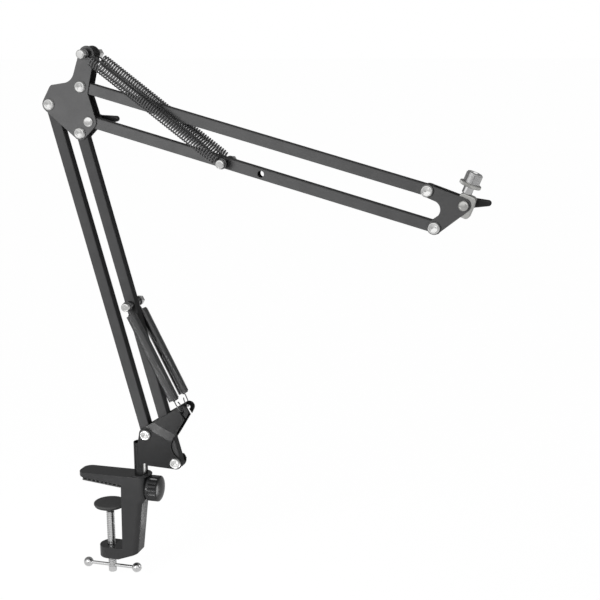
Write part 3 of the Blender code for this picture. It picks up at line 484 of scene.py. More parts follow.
class Graph:
    """A node tree, with short calls for the nodes that the looks are made of."""

    def __init__(self, tree: NodeTree) -> None:
        """Takes up a tree.

        Args:
            tree: The node tree of a material or of the world.
        """
        self.tree = tree

    def feed(self, socket: NodeSocket, value: Value) -> None:
        """Connects a socket to an input, or sets a constant on the input itself."""
        if isinstance(value, NodeSocket):
            self.tree.links.new(value, socket)
        else:
            socket.default_value = value

    def add(self, kind: str, **inputs: Value) -> Node:
        """Adds a node and fills its inputs.

        Args:
            kind: The end of the node's type name.
            **inputs: Values or sockets, by the input's name with underscores for spaces.

        Returns:
            The node.
        """
        node = self.tree.nodes.new(f"ShaderNode{kind}")
        for key, value in inputs.items():
            self.feed(node.inputs[key.replace("_", " ")], value)
        return node

    def maths(self, operation: str, *inputs: float | NodeSocket) -> NodeSocket:
        """Gives what an operation makes of numbers or sockets."""
        node = self.add("Math")
        node.operation = operation
        for socket, value in zip(node.inputs, inputs):
            self.feed(socket, value)
        return node.outputs["Value"]

    def mapped(self, value: NodeSocket, source: Point, target: Point, smooth: bool = False) -> NodeSocket:
        """Maps one range of a value to another, clamped, and eased at the ends where it's smooth."""
        node = self.add("MapRange", Value=value, From_Min=source[0], From_Max=source[1], To_Min=target[0],
                        To_Max=target[1])
        if smooth:
            node.interpolation_type = "SMOOTHSTEP"
        return node.outputs["Result"]

    def between(self, share: NodeSocket, low: float | NodeSocket, high: float | NodeSocket) -> NodeSocket:
        """Gives a number between two, by a share from 0 to 1."""
        rest = self.maths("SUBTRACT", 1.0, share)
        return self.maths("ADD", self.maths("MULTIPLY", rest, low), self.maths("MULTIPLY", share, high))

    def tint(self, share: NodeSocket, low: Colour, high: Colour) -> NodeSocket:
        """Gives a colour between two, by a share from 0 to 1."""
        mix = self.add("Mix")
        mix.data_type = "RGBA"
        self.feed(mix.inputs["Factor"], share)
        self.feed(mix.inputs[6], (*low, 1.0))
        self.feed(mix.inputs[7], (*high, 1.0))
        return mix.outputs[2]

    def place(self) -> NodeSocket:
        """Gives the place on the object."""
        return self.add("TexCoord").outputs["Object"]

    def noise(self, size: float, detail: float, stretch: Sequence[float] = (1, 1, 1)) -> NodeSocket:
        """Gives a noise of a feature size in millimetres, stretched along the axes."""
        mapping = self.add("Mapping", Vector=self.place(), Scale=stretch)
        return self.add("TexNoise", Vector=mapping.outputs["Vector"], Scale=1 / (size * MM),
                        Detail=detail).outputs["Fac"]

    def hatch(self, pitch: float, degrees: float) -> NodeSocket:
        """Gives parallel bands across the XY plane, with a pitch in millimetres and a direction."""
        turn = self.add("Mapping", Vector=self.place(), Rotation=(0, 0, math.radians(degrees)))
        bands = self.add("TexWave", Vector=turn.outputs["Vector"], Scale=math.tau / 20 / (pitch * MM))
        bands.wave_profile = "TRI"
        return bands.outputs["Fac"]

    def rays(self) -> tuple[NodeSocket, NodeSocket]:
        """Gives whether a ray shows what it meets to the camera, and whether it's a mirrored one."""
        path = self.add("LightPath").outputs
        shown = self.maths("MAXIMUM", path["Is Camera Ray"], path["Is Transmission Ray"])
        return shown, path["Is Glossy Ray"]


@dataclass(frozen=True)
class Finish:
    """A surface finish of the stand, with its grain and the way that its colour varies."""

    slot: str
    colour: Colour
    roughness: float
    metallic: float = 0.0
    specular: float = 0.5
    mottle: float = 0.06          # share by which the colour varies
    mottle_size: float = 14.0
    patina: float = 0.05          # by how much the roughness varies
    relief: Relief = Relief.PEBBLED
    relief_depth: float = 0.02
    relief_size: float = 0.5
    shade: str = "look"

    @property
    def look(self) -> str:
        """The name of the material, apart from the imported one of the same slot."""
        return f"{self.slot}_{self.shade}"

    def material(self) -> Material:
        """Gives this finish's material, made the first time that it is asked for."""
        return bpy.data.materials.get(self.look) or self._made()

    def _made(self) -> Material:
        """Makes the material's node tree."""
        material = bpy.data.materials.new(self.look)
        material.use_nodes = True
        graph = Graph(material.node_tree)
        cloud = graph.mapped(graph.noise(self.mottle_size, 3.0), GRAIN, (0.0, 1.0))
        tones = [tuple(min(1.0, c * (1 + sign * self.mottle)) for c in self.colour) for sign in (-1, 1)]
        wear = (self.roughness - self.patina, self.roughness + self.patina)
        bump = graph.add("Bump", Height=self._height(graph), Distance=self.relief_depth * MM, Strength=BUMP)
        inputs = {
            "Base Color": graph.tint(cloud, *tones),
            "Roughness": graph.mapped(graph.noise(self.mottle_size / 3, 4.0), GRAIN, wear),
            "Metallic": self.metallic,
            "Specular IOR Level": self.specular,
            "Normal": bump.outputs["Normal"],
        }
        shader = graph.tree.nodes["Principled BSDF"]
        for name, value in inputs.items():
            graph.feed(shader.inputs[name], value)
        return material

    def _height(self, graph: Graph) -> NodeSocket:
        """Gives the height that the bump follows."""
        if self.relief is Relief.HATCHED:
            return graph.hatch(self.relief_size, 45.0)
        if self.relief is Relief.BRUSHED:
            return graph.noise(self.relief_size, 4.0, (0.15, 1.0, 1.0))
        if self.relief is Relief.SMOOTH:
            return graph.noise(self.relief_size * 8, 1.0)
        return graph.noise(self.relief_size, 3.0)


LOWER_ARM_PAINT = Finish("lower_arm_paint", (0.083, 0.083, 0.084), 0.55, specular=0.12)
UPPER_ARM_PAINT = Finish("upper_arm_paint", (0.144, 0.144, 0.145), 0.55, specular=0.12)
BRACKET_PAINT = Finish("bracket_paint", (0.012, 0.012, 0.0125), 0.34, specular=0.3)
CLAMP_PAINT = Finish("clamp_paint", (0.041, 0.041, 0.042), 0.22, specular=0.4, relief_size=0.8)
PLASTIC = Finish("plastic", (0.02, 0.02, 0.021), 0.24, specular=0.5, relief_depth=0.012, relief_size=0.35)
RUBBER = Finish("rubber", (0.1, 0.1, 0.1), 0.7, specular=0.3, relief=Relief.HATCHED, relief_depth=0.25,
                relief_size=1.5)
ZINC = Finish("zinc", (0.93, 0.93, 0.92), 0.22, metallic=1.0, relief=Relief.BRUSHED, relief_depth=0.004,
              relief_size=0.3, mottle=0.03)
# Painted shade: a darker copy of the zinc for the post, with the shade under the bracket's wrap and its
# dimmer reflection painted into its colour.
ZINC_WITH_PAINTED_SHADE = Finish("zinc", (0.42, 0.42, 0.415), 0.34, metallic=1.0, relief=Relief.BRUSHED, relief_depth=0.004,
                   relief_size=0.3, shade="painted_shade")
CHROME = Finish("chrome", (0.8, 0.8, 0.8), 0.17, metallic=1.0, relief=Relief.SMOOTH, relief_depth=0.01,
                patina=0.03, mottle=0.02)
SILVER = Finish("silver", (0.66, 0.66, 0.64), 0.36, metallic=1.0, relief_depth=0.01, relief_size=0.25)
SPRING_STEEL = Finish("spring_steel", (0.21, 0.21, 0.212), 0.2, metallic=1.0, relief=Relief.SMOOTH,
                      relief_depth=0.01)


@dataclass(frozen=True)
class Pivots:
    """The linkage's pivots and the springs' anchors, read off the frame's bolts."""

    base_left: Point
    base_right: Point
    elbow_left: Point
    elbow_right: Point
    boom_top: Point
    boom_bottom: Point
    head_top: Point
    head_bottom: Point
    tilt: Point
    top_anchor: Point
    boom_anchor: Point
    lower_anchor: Point

    @classmethod
    def of_frame(cls) -> "Pivots":
        """Reads the pivots off the frame."""
        bolts = ("base_upper", "base_lower", "elbow_left", "elbow_bottom", "elbow_top", "elbow_clamp",
                 "head_top", "head_bottom", "tilt", "top_anchor", "boom_anchor", "lower_anchor")
        return cls(*(centre_of(f"{name}_bolt") for name in bolts))


@dataclass(frozen=True)
class Layers:
    """How far from the arm's middle plane its layers lie."""

    tube_depth: float = 10.4
    sheet: float = 1.6

    @property
    def plate_in(self) -> float:
        """The plates' inner faces."""
        return self.tube_depth / 2 + GAP

    @property
    def plate_out(self) -> float:
        """The plates' outer faces."""
        return self.plate_in + self.sheet

    @property
    def seat(self) -> float:
        """The faces that bolt heads and nuts bear on."""
        return self.plate_out + GAP


LAYERS = Layers()


def placed(shape: BMesh | Object, node: str, finish: Finish, body: str, sharp: float = 38.0,
           name: str = "") -> None:
    """Dresses a shape, hangs it on its body and lets it stand for its node.

    Args:
        shape: A shape in millimetres, or an object that is in place.
        node: The node that it stands for.
        finish: Its finish.
        body: The body that it moves with.
        sharp: Angle in degrees above which an edge stays sharp.
        name: The piece's name, where it isn't the node's with the usual ending.
    """
    name = name or f"{node}_fine"
    obj = shape if isinstance(shape, Object) else solid(name, shape)
    obj.name = name
    dress(obj, finish, sharp)
    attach(obj, body)
    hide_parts(node)
    LOG.info("%s on %s, %s, %d faces", name, body, finish.slot, len(obj.data.polygons))


def dress(obj: Object, finish: Finish, sharp: float) -> None:
    """Gives an object its material and its shading."""
    obj.data.materials.clear()
    obj.data.materials.append(finish.material())
    obj.data.shade_smooth()
    obj.data.set_sharp_from_angle(angle=math.radians(sharp))
    weighted = obj.modifiers.new("normals", "WEIGHTED_NORMAL")
    weighted.keep_sharp = True
    weighted.weight = 60


@dataclass(frozen=True)
class Fasteners:
    """The bolts, nuts and sleeves of the stand."""

    bolt_r: float = 3.0
    core_r: float = 2.5
    pitch: float = 1.0
    hole_r: float = 3.3
    head_r: float = 6.0
    head_height: float = 2.8
    rim_height: float = 0.9
    ring_r: float = 4.1           # inner edge of the head's flat ring
    socket_r: float = 3.3
    socket_depth: float = 1.8
    nut_r: float = 5.6
    nut_height: float = 4.2
    stickout: float = 1.4
    wing_hub: float = 10.4
    wing_cap: float = 1.5
    bore_spare: float = 1.5

    def _shank(self, head: Profile, tip: float, centre: Point) -> BMesh:
        """Makes a bolt along Y: a head and shank, and a threaded end up to a tip behind the arm."""
        thread = ThreadForm(self.bolt_r, self.core_r, self.pitch)
        start = LAYERS.seat + 0.4
        foot = [(self.bolt_r, start - 0.4), (self.bolt_r, -LAYERS.seat), *head]
        bm = thread.rod(start, tip - 0.4, foot, [(self.core_r - 0.3, tip)], 36)
        return seated(bm, BACKWARD, in_space(centre))

    def pivot_bolt(self, centre: Point) -> BMesh:
        """Makes a button-head bolt with a hexagon socket, its head toward the viewer."""
        seat = LAYERS.seat
        rim = seat + self.rim_height
        top = seat + self.head_height
        floor = self.socket_depth - top
        head = [(self.head_r - 0.15, -seat), (self.head_r, -seat - 0.15), (self.head_r, -rim),
                (self.head_r - 0.25, -rim - 0.45), (self.head_r - 0.8, 0.45 - top),
                (self.head_r - 1.2, 0.1 - top), (self.head_r - 1.5, -top), (self.ring_r, -top),
                (self.socket_r + 0.25, 0.12 - top), (self.socket_r, 0.4 - top), (self.socket_r, floor),
                (self.socket_r * 0.75, floor + 0.2), (self.socket_r * 0.1, floor + 1.1)]
        return self._hexed(self._shank(head, seat + self.nut_height + self.stickout, centre), centre, top)

    def _hexed(self, bm: BMesh, centre: Point, top: float) -> BMesh:
        """Squeezes the round socket in a bolt's head into a hexagon."""
        side = hexagon(self.socket_r)
        for v in bm.verts:
            x, z = v.co.x - centre[0], v.co.z - centre[1]
            radius = math.hypot(x, z)
            if 0.3 < v.co.y + top < self.socket_depth + 0.05 and radius < self.socket_r + 0.05:
                scale = side(math.atan2(z, x)) / radius
                v.co.x, v.co.z = shifted(centre, (x, z), scale)
        return bm

    def domed_bolt(self, centre: Point, head_r: float, head_height: float) -> BMesh:
        """Makes a round-head bolt, its end in the bore of a wing knob."""
        seat = LAYERS.seat
        base = head_height * 0.3
        head = [(head_r - 0.1, -seat), (head_r, -seat - base * 0.5)]
        for k in range(9):
            inward, rise = on_circle(1.0, math.pi / 2 * k / 9)
            head.append((head_r * inward, -seat - base - (head_height - base) * rise))
        return self._shank(head, seat + self.wing_hub - self.wing_cap - self.bore_spare, centre)

    def nut(self, centre: Point, seat: float | None = None) -> BMesh:
        """Makes a hexagon nut behind a seat, with its corners chamfered on both faces."""
        side = hexagon(self.nut_r)
        face_r = self.nut_r * math.cos(math.pi / 6) - 0.1
        low = LAYERS.seat if seat is None else seat
        high = low + self.nut_height

        def drop(angle: float) -> float:
            """Gives how far below the face a chamfer meets the side."""
            return max(0.0, side(angle) - face_r) * math.tan(math.radians(30))

        profile = [(face_r, low), (side, lambda a: low + drop(a)), (side, lambda a: high - drop(a)),
                   (face_r, high), (self.hole_r + 0.4, high), (self.hole_r - 0.25, high - 0.5),
                   (self.hole_r - 0.25, low + 0.5), (self.hole_r + 0.4, low)]
        return turned(profile, 48, BACKWARD, in_space(centre), hollow=True)

    def sleeve(self, centre: Point, near: float, far: float, radius: float) -> BMesh:
        """Makes a drilled sleeve along Y with eased rims."""
        low, high = sorted((near, far))
        ease = min(0.35, (high - low) / 4)
        profile = [(self.hole_r, low), (radius - ease, low), (radius, low + ease), (radius, high - ease),
                   (radius - ease, high), (self.hole_r, high)]
        return turned(profile, 40, BACKWARD, in_space(centre), hollow=True)


FASTENERS = Fasteners()


def fit_pivot(name: str, centre: Point, body: str) -> None:
    """Fits the bolt and the nut of one pivot."""
    placed(FASTENERS.pivot_bolt(centre), f"{name}_bolt", ZINC, body)
    placed(FASTENERS.nut(centre), f"{name}_nut", SPRING_STEEL, body)


@dataclass(frozen=True)
class SpringAnchor:
    """A long bolt that the end loops of a pair of springs hook over, with its nut and spacers."""

    name: str
    centre: Point
    body: str
    outer_sleeve: float
    seat: float
    spring_y: float = 13.4
    wire_r: float = 0.8
    sleeve_r: float = 4.2
    head_r: float = 4.4
    head_height: float = 2.6
    nut_r: float = 4.7

    def build(self) -> None:
        """Fits the bolt, the flanged nut and both spacers."""
        near = self.spring_y - self.wire_r - GAP
        far = self.spring_y + self.wire_r + GAP
        half = far + self.outer_sleeve
        end = half + FASTENERS.nut_height + FASTENERS.stickout
        origin = in_space(self.centre)
        thread = ThreadForm(FASTENERS.bolt_r, FASTENERS.core_r, FASTENERS.pitch)
        r = FASTENERS.bolt_r
        dome = []
        for k in range(1, 8):
            inward, rise = on_circle(1.0, math.pi / 2 * k / 8)
            dome.append((self.head_r - 1.8 * (1 - inward), -half - self.head_height * (0.45 + 0.55 * rise)))
        foot = [(r, half), (r, -far), (self.sleeve_r - 0.3, -far), (self.sleeve_r, -far - 0.3),
                (self.sleeve_r, -half), (self.head_r, -half), (self.head_r, -half - self.head_height * 0.45),
                *dome]
        bolt = thread.rod(half + 0.4, end - 0.4, foot, [(FASTENERS.core_r - 0.3, end)], 36)
        placed(seated(bolt, BACKWARD, origin), f"{self.name}_bolt", ZINC, self.body)
        hole = FASTENERS.hole_r
        side = hexagon(self.nut_r * 1.04)
        top = half + FASTENERS.nut_height
        nut = [(hole, far), (self.sleeve_r - 0.3, far), (self.sleeve_r, far + 0.3), (self.sleeve_r, half),
               (self.nut_r - 0.5, half), (side, half + 0.4), (side, top - 0.5), (self.nut_r - 0.7, top),
               (hole, top)]
        placed(turned(nut, 48, BACKWARD, origin, hollow=True), f"{self.name}_nut", ZINC, self.body)
        for end_of in Side:
            spacer = FASTENERS.sleeve(self.centre, end_of.value * (self.seat + GAP), end_of.value * near,
                                      self.sleeve_r)
            placed(spacer, f"{self.name}_spacer_{end_of.label}", SPRING_STEEL, self.body)


@dataclass(frozen=True)
class SquareTube:
    """A bar of square steel tube between two pivots, open at its ends."""

    height: float
    corner: float = 1.2
    wall: float = 1.2
    overhang: float = 5.2
    lip: float = 0.2

    def build(self, start: Point, end: Point) -> BMesh:
        """Makes the tube.

        Args:
            start: (X, Z) of the first pivot.
            end: (X, Z) of the last pivot.

        Returns:
            The closed shape.
        """
        bm = bmesh.new()
        along = (Vector(end) - Vector(start)).normalized()
        length = (Vector(end) - Vector(start)).length
        low, high = -self.overhang, length + self.overhang
        stations = [(low + self.lip, 0), (high - self.lip, 0), (high, self.lip), (high, self.wall - self.lip),
                    (high - self.lip, self.wall), (low + self.lip, self.wall), (low, self.wall - self.lip),
                    (low, self.lip)]
        loops = [self._loop(bm, start, along, distance, inset) for distance, inset in stations]
        for lower, upper in zip(loops, loops[1:] + loops[:1]):
            skin(bm, lower, upper)
        return bm

    def _loop(self, bm: BMesh, start: Point, along: Vector, distance: float, inset: float) -> list[BMVert]:
        """Adds one section of the tube, at a distance along it and inside its outer surface."""
        corner = max(self.corner - inset, 0.35)
        half_y = LAYERS.tube_depth / 2 - inset - corner
        half_z = self.height / 2 - inset - corner
        steps = 6
        ring = []
        for quarter in range(4):
            middle = math.pi / 4 + quarter * math.pi / 2
            for k in range(steps + 1):
                angle = (quarter + k / steps) * math.pi / 2
                y = math.copysign(half_y, math.cos(middle)) + corner * math.cos(angle)
                lift = math.copysign(half_z, math.sin(middle)) + corner * math.sin(angle)
                x = start[0] + along.x * distance - along.y * lift
                z = start[1] + along.y * distance + along.x * lift
                ring.append(bm.verts.new((x, y, z)))
        return ring


@dataclass(frozen=True)
class WingKnob:
    """A two-winged clamping knob of moulded plastic behind the plates."""

    hub_r: float = 6.2
    span: float = 23.0
    tip_r: float = 2.9
    root_r: float = 4.6
    bulge: float = 1.0
    thickness: float = 4.6
    edge: float = 1.7

    def build(self, name: str, centre: Point, turn: float, body: str) -> None:
        """Makes the knob with its wings turned from level, and fits it.

        Args:
            name: The knob's node.
            centre: (X, Z) of its axis.
            turn: Angle of the wings in degrees.
            body: The body that it moves with.
        """
        rounds = []
        for quarter in range(4):
            reach, radius = ((self.span - self.tip_r, self.tip_r), (self.bulge, self.root_r))[quarter % 2]
            rounds.append((*shifted(centre, polar(reach, turn + 90 * quarter)), radius))
        start = LAYERS.seat + FASTENERS.nut_height + FASTENERS.stickout + 2 * GAP
        wings = prism(belt(rounds, 6), start, start + self.thickness)
        wings = solid(name, rounded(wings, rim_edges(wings), self.edge, 5))
        seat, top = LAYERS.seat, LAYERS.seat + FASTENERS.wing_hub
        floor = top - FASTENERS.wing_cap
        bore, r, axis = FASTENERS.hole_r, self.hub_r, in_space(centre)
        hub = [(bore, seat), (r - 0.8, seat), (r - 0.2, seat + 0.3), (r, seat + 1.0), (r, top),
               (r - 0.35, top + 0.8), (r - 1.3, top + 1.3), (r - 2.4, top + 1.4), (r - 2.8, top + 1.0),
               (0, top + 1.0), (0, floor), (bore, floor)]
        carved(wings, turned(hub, 56, BACKWARD, axis, hollow=True), "UNION")
        drilled(wings, bore, (seat - 1, floor), origin=axis)
        placed(wings, name, PLASTIC, body, 30)


@dataclass(frozen=True)
class DeskClamp:
    """The cast C-shaped clamp frame and the ribbed pad in its upper jaw."""

    width: float = 25.0
    jaw_top: float = 10.9
    jaw_under: float = 1.8        # over the screw's axis
    jaw_taper: float = 0.1045     # by which the underside drops toward the column
    jaw_tip: float = -28.8
    tip_reach: float = 2.2        # by which the rounded tip passes the straight jaw's end
    tip_round: float = 9.0
    inner_head: float = 18.9
    inner_foot: float = 17.8
    outer_head: float = 45.4
    outer_neck: float = 41.0
    outer_foot: float = 34.2
    boss_foot: float = -14.0
    neck: float = -20.0
    lower_top: float = -71.6
    lower_under: float = -84.0
    foot_rise: float = 8.0
    column_round: float = 5.5
    edge: float = 0.6
    post_x: float = 37.7
    rim_r: float = 11.5
    rim_top: float = 12.1
    bore_depth: float = 30.0
    screw_bore_r: float = 4.6
    stud_bore_r: float = 3.3
    knob_z: float = -3.5
    pad_width: float = 19.0
    pad_length: float = 44.0
    pad_base: float = 1.2
    rib_pitch: float = 4.75
    rib_height: float = 1.8
    rib_edge: float = 0.2         # from a rib's end to the jaw's side
    rib_half: float = 0.17        # of the pitch, half a rib's width
    rib_seat: float = 0.7         # from the desk face's line up to the casting's own underside
    tread: float = 1.1            # thickness of the pad's lower sheet
    tread_start: float = 4.0      # from the straight jaw's end

    def build(self) -> None:
        """Makes and fits the frame and the pad."""
        placed(self._frame(), "clamp_frame", CLAMP_PAINT, "clamp", 30)
        placed(self._pad(), "upper_jaw_pad", RUBBER, "clamp", 25)

    def _frame(self) -> Object:
        """Makes the casting: its side outline, cut to its plan, with the rim, the bores and the recess."""
        half = self.width / 2
        tip = self.jaw_tip - self.tip_reach
        side = [(tip, self._under(tip) + self.rib_seat),
                (self.inner_head, self._under(self.inner_head) + self.rib_seat),
                (self.inner_foot, self.lower_top), (-half, self.lower_top), (-half, self.lower_under),
                (half, self.lower_under), (self.outer_foot, self.lower_under + self.foot_rise),
                (self.outer_neck, self.neck), (self.outer_head, self.boss_foot),
                (self.outer_head, self.jaw_top), (tip, self.jaw_top)]
        bm = prism(side, -half, half)
        column = [e for e in rim_edges(bm) if all(v.co.x > self.outer_foot - 3 for v in e.verts)
                  and not all(v.co.z > self.jaw_top - GAP for v in e.verts)]
        clamp = solid("clamp_frame_fine", rounded(bm, column, self.column_round, 10))
        back = self.outer_head + PAST
        r = self.tip_round
        split = (self.lower_top + self.neck) / 2
        jaw = belt([(tip + r, r - half, r), (back, -half, 0), (back, half, 0), (tip + r, half - r, r)], 8)
        foot = belt([(0, 0, half), (back, -half, 0), (back, half, 0)], 5)
        plan = solid("plan", prism(foot, self.lower_under - PAST, split, UP))
        carved(plan, prism(jaw, split - 1, self.jaw_top + PAST, UP), "UNION")
        carved(clamp, plan, "INTERSECT")
        post = (self.post_x, 0, 0)
        rim = [(self.rim_r, self.jaw_top - 0.6), (self.rim_r, self.rim_top)]
        carved(clamp, turned(rim, 72, origin=post), "UNION")
        drilled(clamp, LAYERS.plate_in, (self.rim_top - self.bore_depth, self.rim_top + PAST), 48, UP, post)
        drilled(clamp, self.screw_bore_r, (self.lower_under - PAST, self.lower_top + PAST), 40, UP)
        drilled(clamp, self.stud_bore_r, (self.post_x, back), 32, RIGHT, (0, 0, self.knob_z))
        carved(clamp, self._pad_slab(GAP, PAST))
        return eased(clamp, self.edge, 3, 32)

    def _under(self, x: float) -> float:
        """Gives the height of the jaw's tapered underside at a distance from the screw's axis."""
        return self.jaw_under - self.jaw_taper * x

    def _pad_slab(self, margin: float, depth: float) -> BMesh:
        """Makes the pad's slab.

        Args:
            margin: By how much it's wider and taller than the pad.
            depth: How far it goes below the jaw's underside.

        Returns:
            The closed shape.
        """
        middle = (self.jaw_tip + self.inner_head) / 2
        left = middle - self.pad_length / 2 - margin
        right = middle + self.pad_length / 2 + margin
        y = self.pad_width / 2 + margin
        top = self.pad_base + margin
        return prism([(left, self._under(left) - depth), (right, self._under(right) - depth),
                      (right, self._under(right) + top), (left, self._under(left) + top)], -y, y)

    def _pad(self) -> BMesh:
        """Makes the pad: its slab in the recess, ribs across the whole jaw and the sheet that they carry."""
        near = self.rib_edge - self.width / 2
        ends = [self.jaw_tip + self.tread_start, self.inner_head - GAP]
        foot = [(x, self._under(x) - self.rib_height, 0.35) for x in ends]
        tread = filleted([*foot, *((x, z + self.tread, 0.1) for x, z, _ in reversed(foot))], 30)
        shapes = [self._pad_slab(0.0, 0.05), prism(tread, near, -near)]
        low, high = 0.2 - self.rib_height, self.rib_seat - 0.03
        for k in range(math.ceil(ends[0] / self.rib_pitch), math.floor(ends[1] / self.rib_pitch) + 1):
            left, right = ((k + share) * self.rib_pitch for share in (-self.rib_half, self.rib_half))
            corners = ((left, high), (left, low), (right, low), (right, high))
            section = [(x, self._under(x) + z) for x, z in corners]
            shapes.append(prism(section, near + 0.1, -near - 0.1))
        return merged(*shapes)


@dataclass(frozen=True)
class ClampScrew:
    """The clamp's screw with its swivelling disc, its rubber face and the sliding cross bar."""

    crest: float = 4.25
    root: float = 3.2
    pitch: float = 2.05
    end: float = -103.5
    plain_end: float = 6.8
    disc_top: float = -24.1
    disc_r: float = 17.0
    rubber: float = 2.2
    disc: float = 2.6
    hub_r: float = 5.6
    hub_height: float = 4.4
    tommy_z: float = -96.4
    tommy_r: float = 1.8
    span: float = 56.5
    ball_r: float = 5.2
    ball_steps: int = 24
    flanks: tuple[float, float, float] = (0.36, 0.5, 0.82)   # of the pitch: root's end, crest's ends

    def build(self) -> None:
        """Makes and fits every piece."""
        top = self.disc_top
        under = top - self.rubber
        face = [(0, top), (self.disc_r - 1.3, top), (self.disc_r - 0.5, top - 0.2), (self.disc_r, top - 0.7),
                (self.disc_r, under + 0.2), (self.disc_r - 0.2, under), (0, under)]
        placed(turned(face, 96), "disc_rubber", RUBBER, "disc")
        plate = under - GAP
        foot = plate - self.disc
        hub = foot - self.hub_height
        bore = self.root
        disc = [(0, plate), (self.disc_r - 1.0, plate), (self.disc_r - 0.8, plate - 0.2),
                (self.disc_r - 0.8, plate - 1.1), (self.disc_r - 1.3, plate - 1.6), (self.disc_r - 3.4, foot),
                (self.hub_r + 1.2, foot - 0.3), (self.hub_r, foot - 0.9), (self.hub_r - 1.1, hub + 0.5),
                (self.hub_r - 1.6, hub), (bore, hub), (bore, foot), (0, foot)]
        placed(turned(disc, 96), "pressure_disc", CLAMP_PAINT, "disc")
        placed(self._screw(hub), "clamp_screw", CHROME, "screw", 25)
        placed(self._bar(), "tommy_bar", CHROME, "tommy")

    def _screw(self, hub: float) -> Object:
        """Makes the threaded screw below the disc's hub, drilled across for the bar."""
        thread = ThreadForm(self.crest, self.root, self.pitch, *self.flanks)
        spigot = self.root - GAP
        start = self.end + self.plain_end
        foot = [(self.crest, start - 0.6), (self.crest, self.end + 0.9), (self.crest - 0.3, self.end + 0.3),
                (self.crest - 0.9, self.end)]
        seat = hub - GAP
        head = [(spigot, seat), (spigot, seat + self.hub_height - GAP)]
        screw = solid("clamp_screw_fine", thread.rod(start, seat - 0.2, foot, head, 40))
        return drilled(screw, self.tommy_r + GAP, (-10, 10), 32, RIGHT, (0, 0, self.tommy_z))

    def _bar(self) -> BMesh:
        """Makes the cross bar with a ball on each end."""
        half = self.span / 2
        left = []
        for k in range(self.ball_steps):
            inward, radius = on_circle(self.ball_r, math.pi * k / self.ball_steps)
            if k > self.ball_steps / 2 and radius < self.tommy_r + 0.5:
                left += [(self.tommy_r + 0.3, -half - inward), (self.tommy_r, -half - inward + 0.5)]
                break
            left.append((radius, -half - inward))
        right = [(radius, -height) for radius, height in reversed(left)]
        return turned(left + right, 48, RIGHT, (0, 0, self.tommy_z))


@dataclass(frozen=True)
class LockKnob:
    """The round moulded knob that locks the post, with V cuts round its rim."""

    rear: float = 46.0
    z: float = -3.5
    radius: float = 13.6
    length: float = 13.4
    stud_r: float = 3.0
    stud_start: float = 43.2
    stud_share: float = 0.6       # of the knob's length, how deep the stud goes
    cuts: int = 16
    cut_depth: float = 1.3
    cut_width: float = 0.62       # share of the room between cuts
    bulge: float = 2.1            # of the domed face
    cut_start: float = 2.7        # from the rear face
    cut_end: float = 11.9

    def build(self) -> None:
        """Makes and fits the knob and its stud."""
        origin = (0, 0, self.z)
        placed(turned(self._profile(), self.cuts * 14, RIGHT, origin, hollow=True), "lock_knob", PLASTIC,
               "lock_knob", 26)
        thread = ThreadForm(self.stud_r, self.stud_r - 0.5, 1.0)
        end = self.rear + self.length * self.stud_share
        stud = thread.rod(self.stud_start + 0.6, self.rear, [(self.stud_r - 0.8, self.stud_start)],
                          [(self.stud_r, self.rear + 0.3), (self.stud_r, end)], 36)
        placed(seated(stud, RIGHT, origin), "lock_knob_stud", ZINC, "lock_stud")

    def _rim(self, depth: float) -> Callable[[float], float]:
        """Gives the rim's radius by angle where the cuts have a depth."""
        def radius(angle: float) -> float:
            """Gives the rim's radius at an angle, with one steep and one slow flank to each cut."""
            phase = (angle * self.cuts / math.tau) % 1.0
            if phase >= self.cut_width:
                return self.radius
            share = phase / self.cut_width
            dip = share / 0.3 if share < 0.3 else (1 - share) / 0.7
            return self.radius - depth * dip
        return radius

    def _profile(self) -> Profile:
        """Gives the knob's section from the bore, round the rear and the rim to the domed face."""
        bore = self.stud_r + GAP
        rear, face = self.rear, self.rear + self.length
        stud_end = rear + self.length * self.stud_share + GAP
        start, end = rear + self.cut_start, rear + self.cut_end
        profile: list[tuple[Amount, Amount]] = [
            (bore, stud_end), (bore, rear), (self.radius - 1.6, rear), (self.radius - 0.4, rear + 0.4),
            (self.radius, rear + 1.2), (self.radius, start - 0.4)]
        for share in (0.0, 0.35, 0.7, 0.92, 1.0):
            profile.append((self._rim(self.cut_depth * share), start + 1.4 * share))
        profile += [(self._rim(self.cut_depth), end - 0.5), (self._rim(self.cut_depth * 0.45), end - 0.1),
                    (self.radius - 0.25, end + 0.2), (self.radius - 0.9, face - 0.75),
                    (self.radius - 1.6, face - 0.4)]
        dome = 8
        for k in range(1, dome + 1):
            share = 1 - k / dome
            profile.append(((self.radius - 1.6) * share, face - 0.4 + self.bulge * (1 - share * share)))
        profile.append((0, stud_end))
        return profile


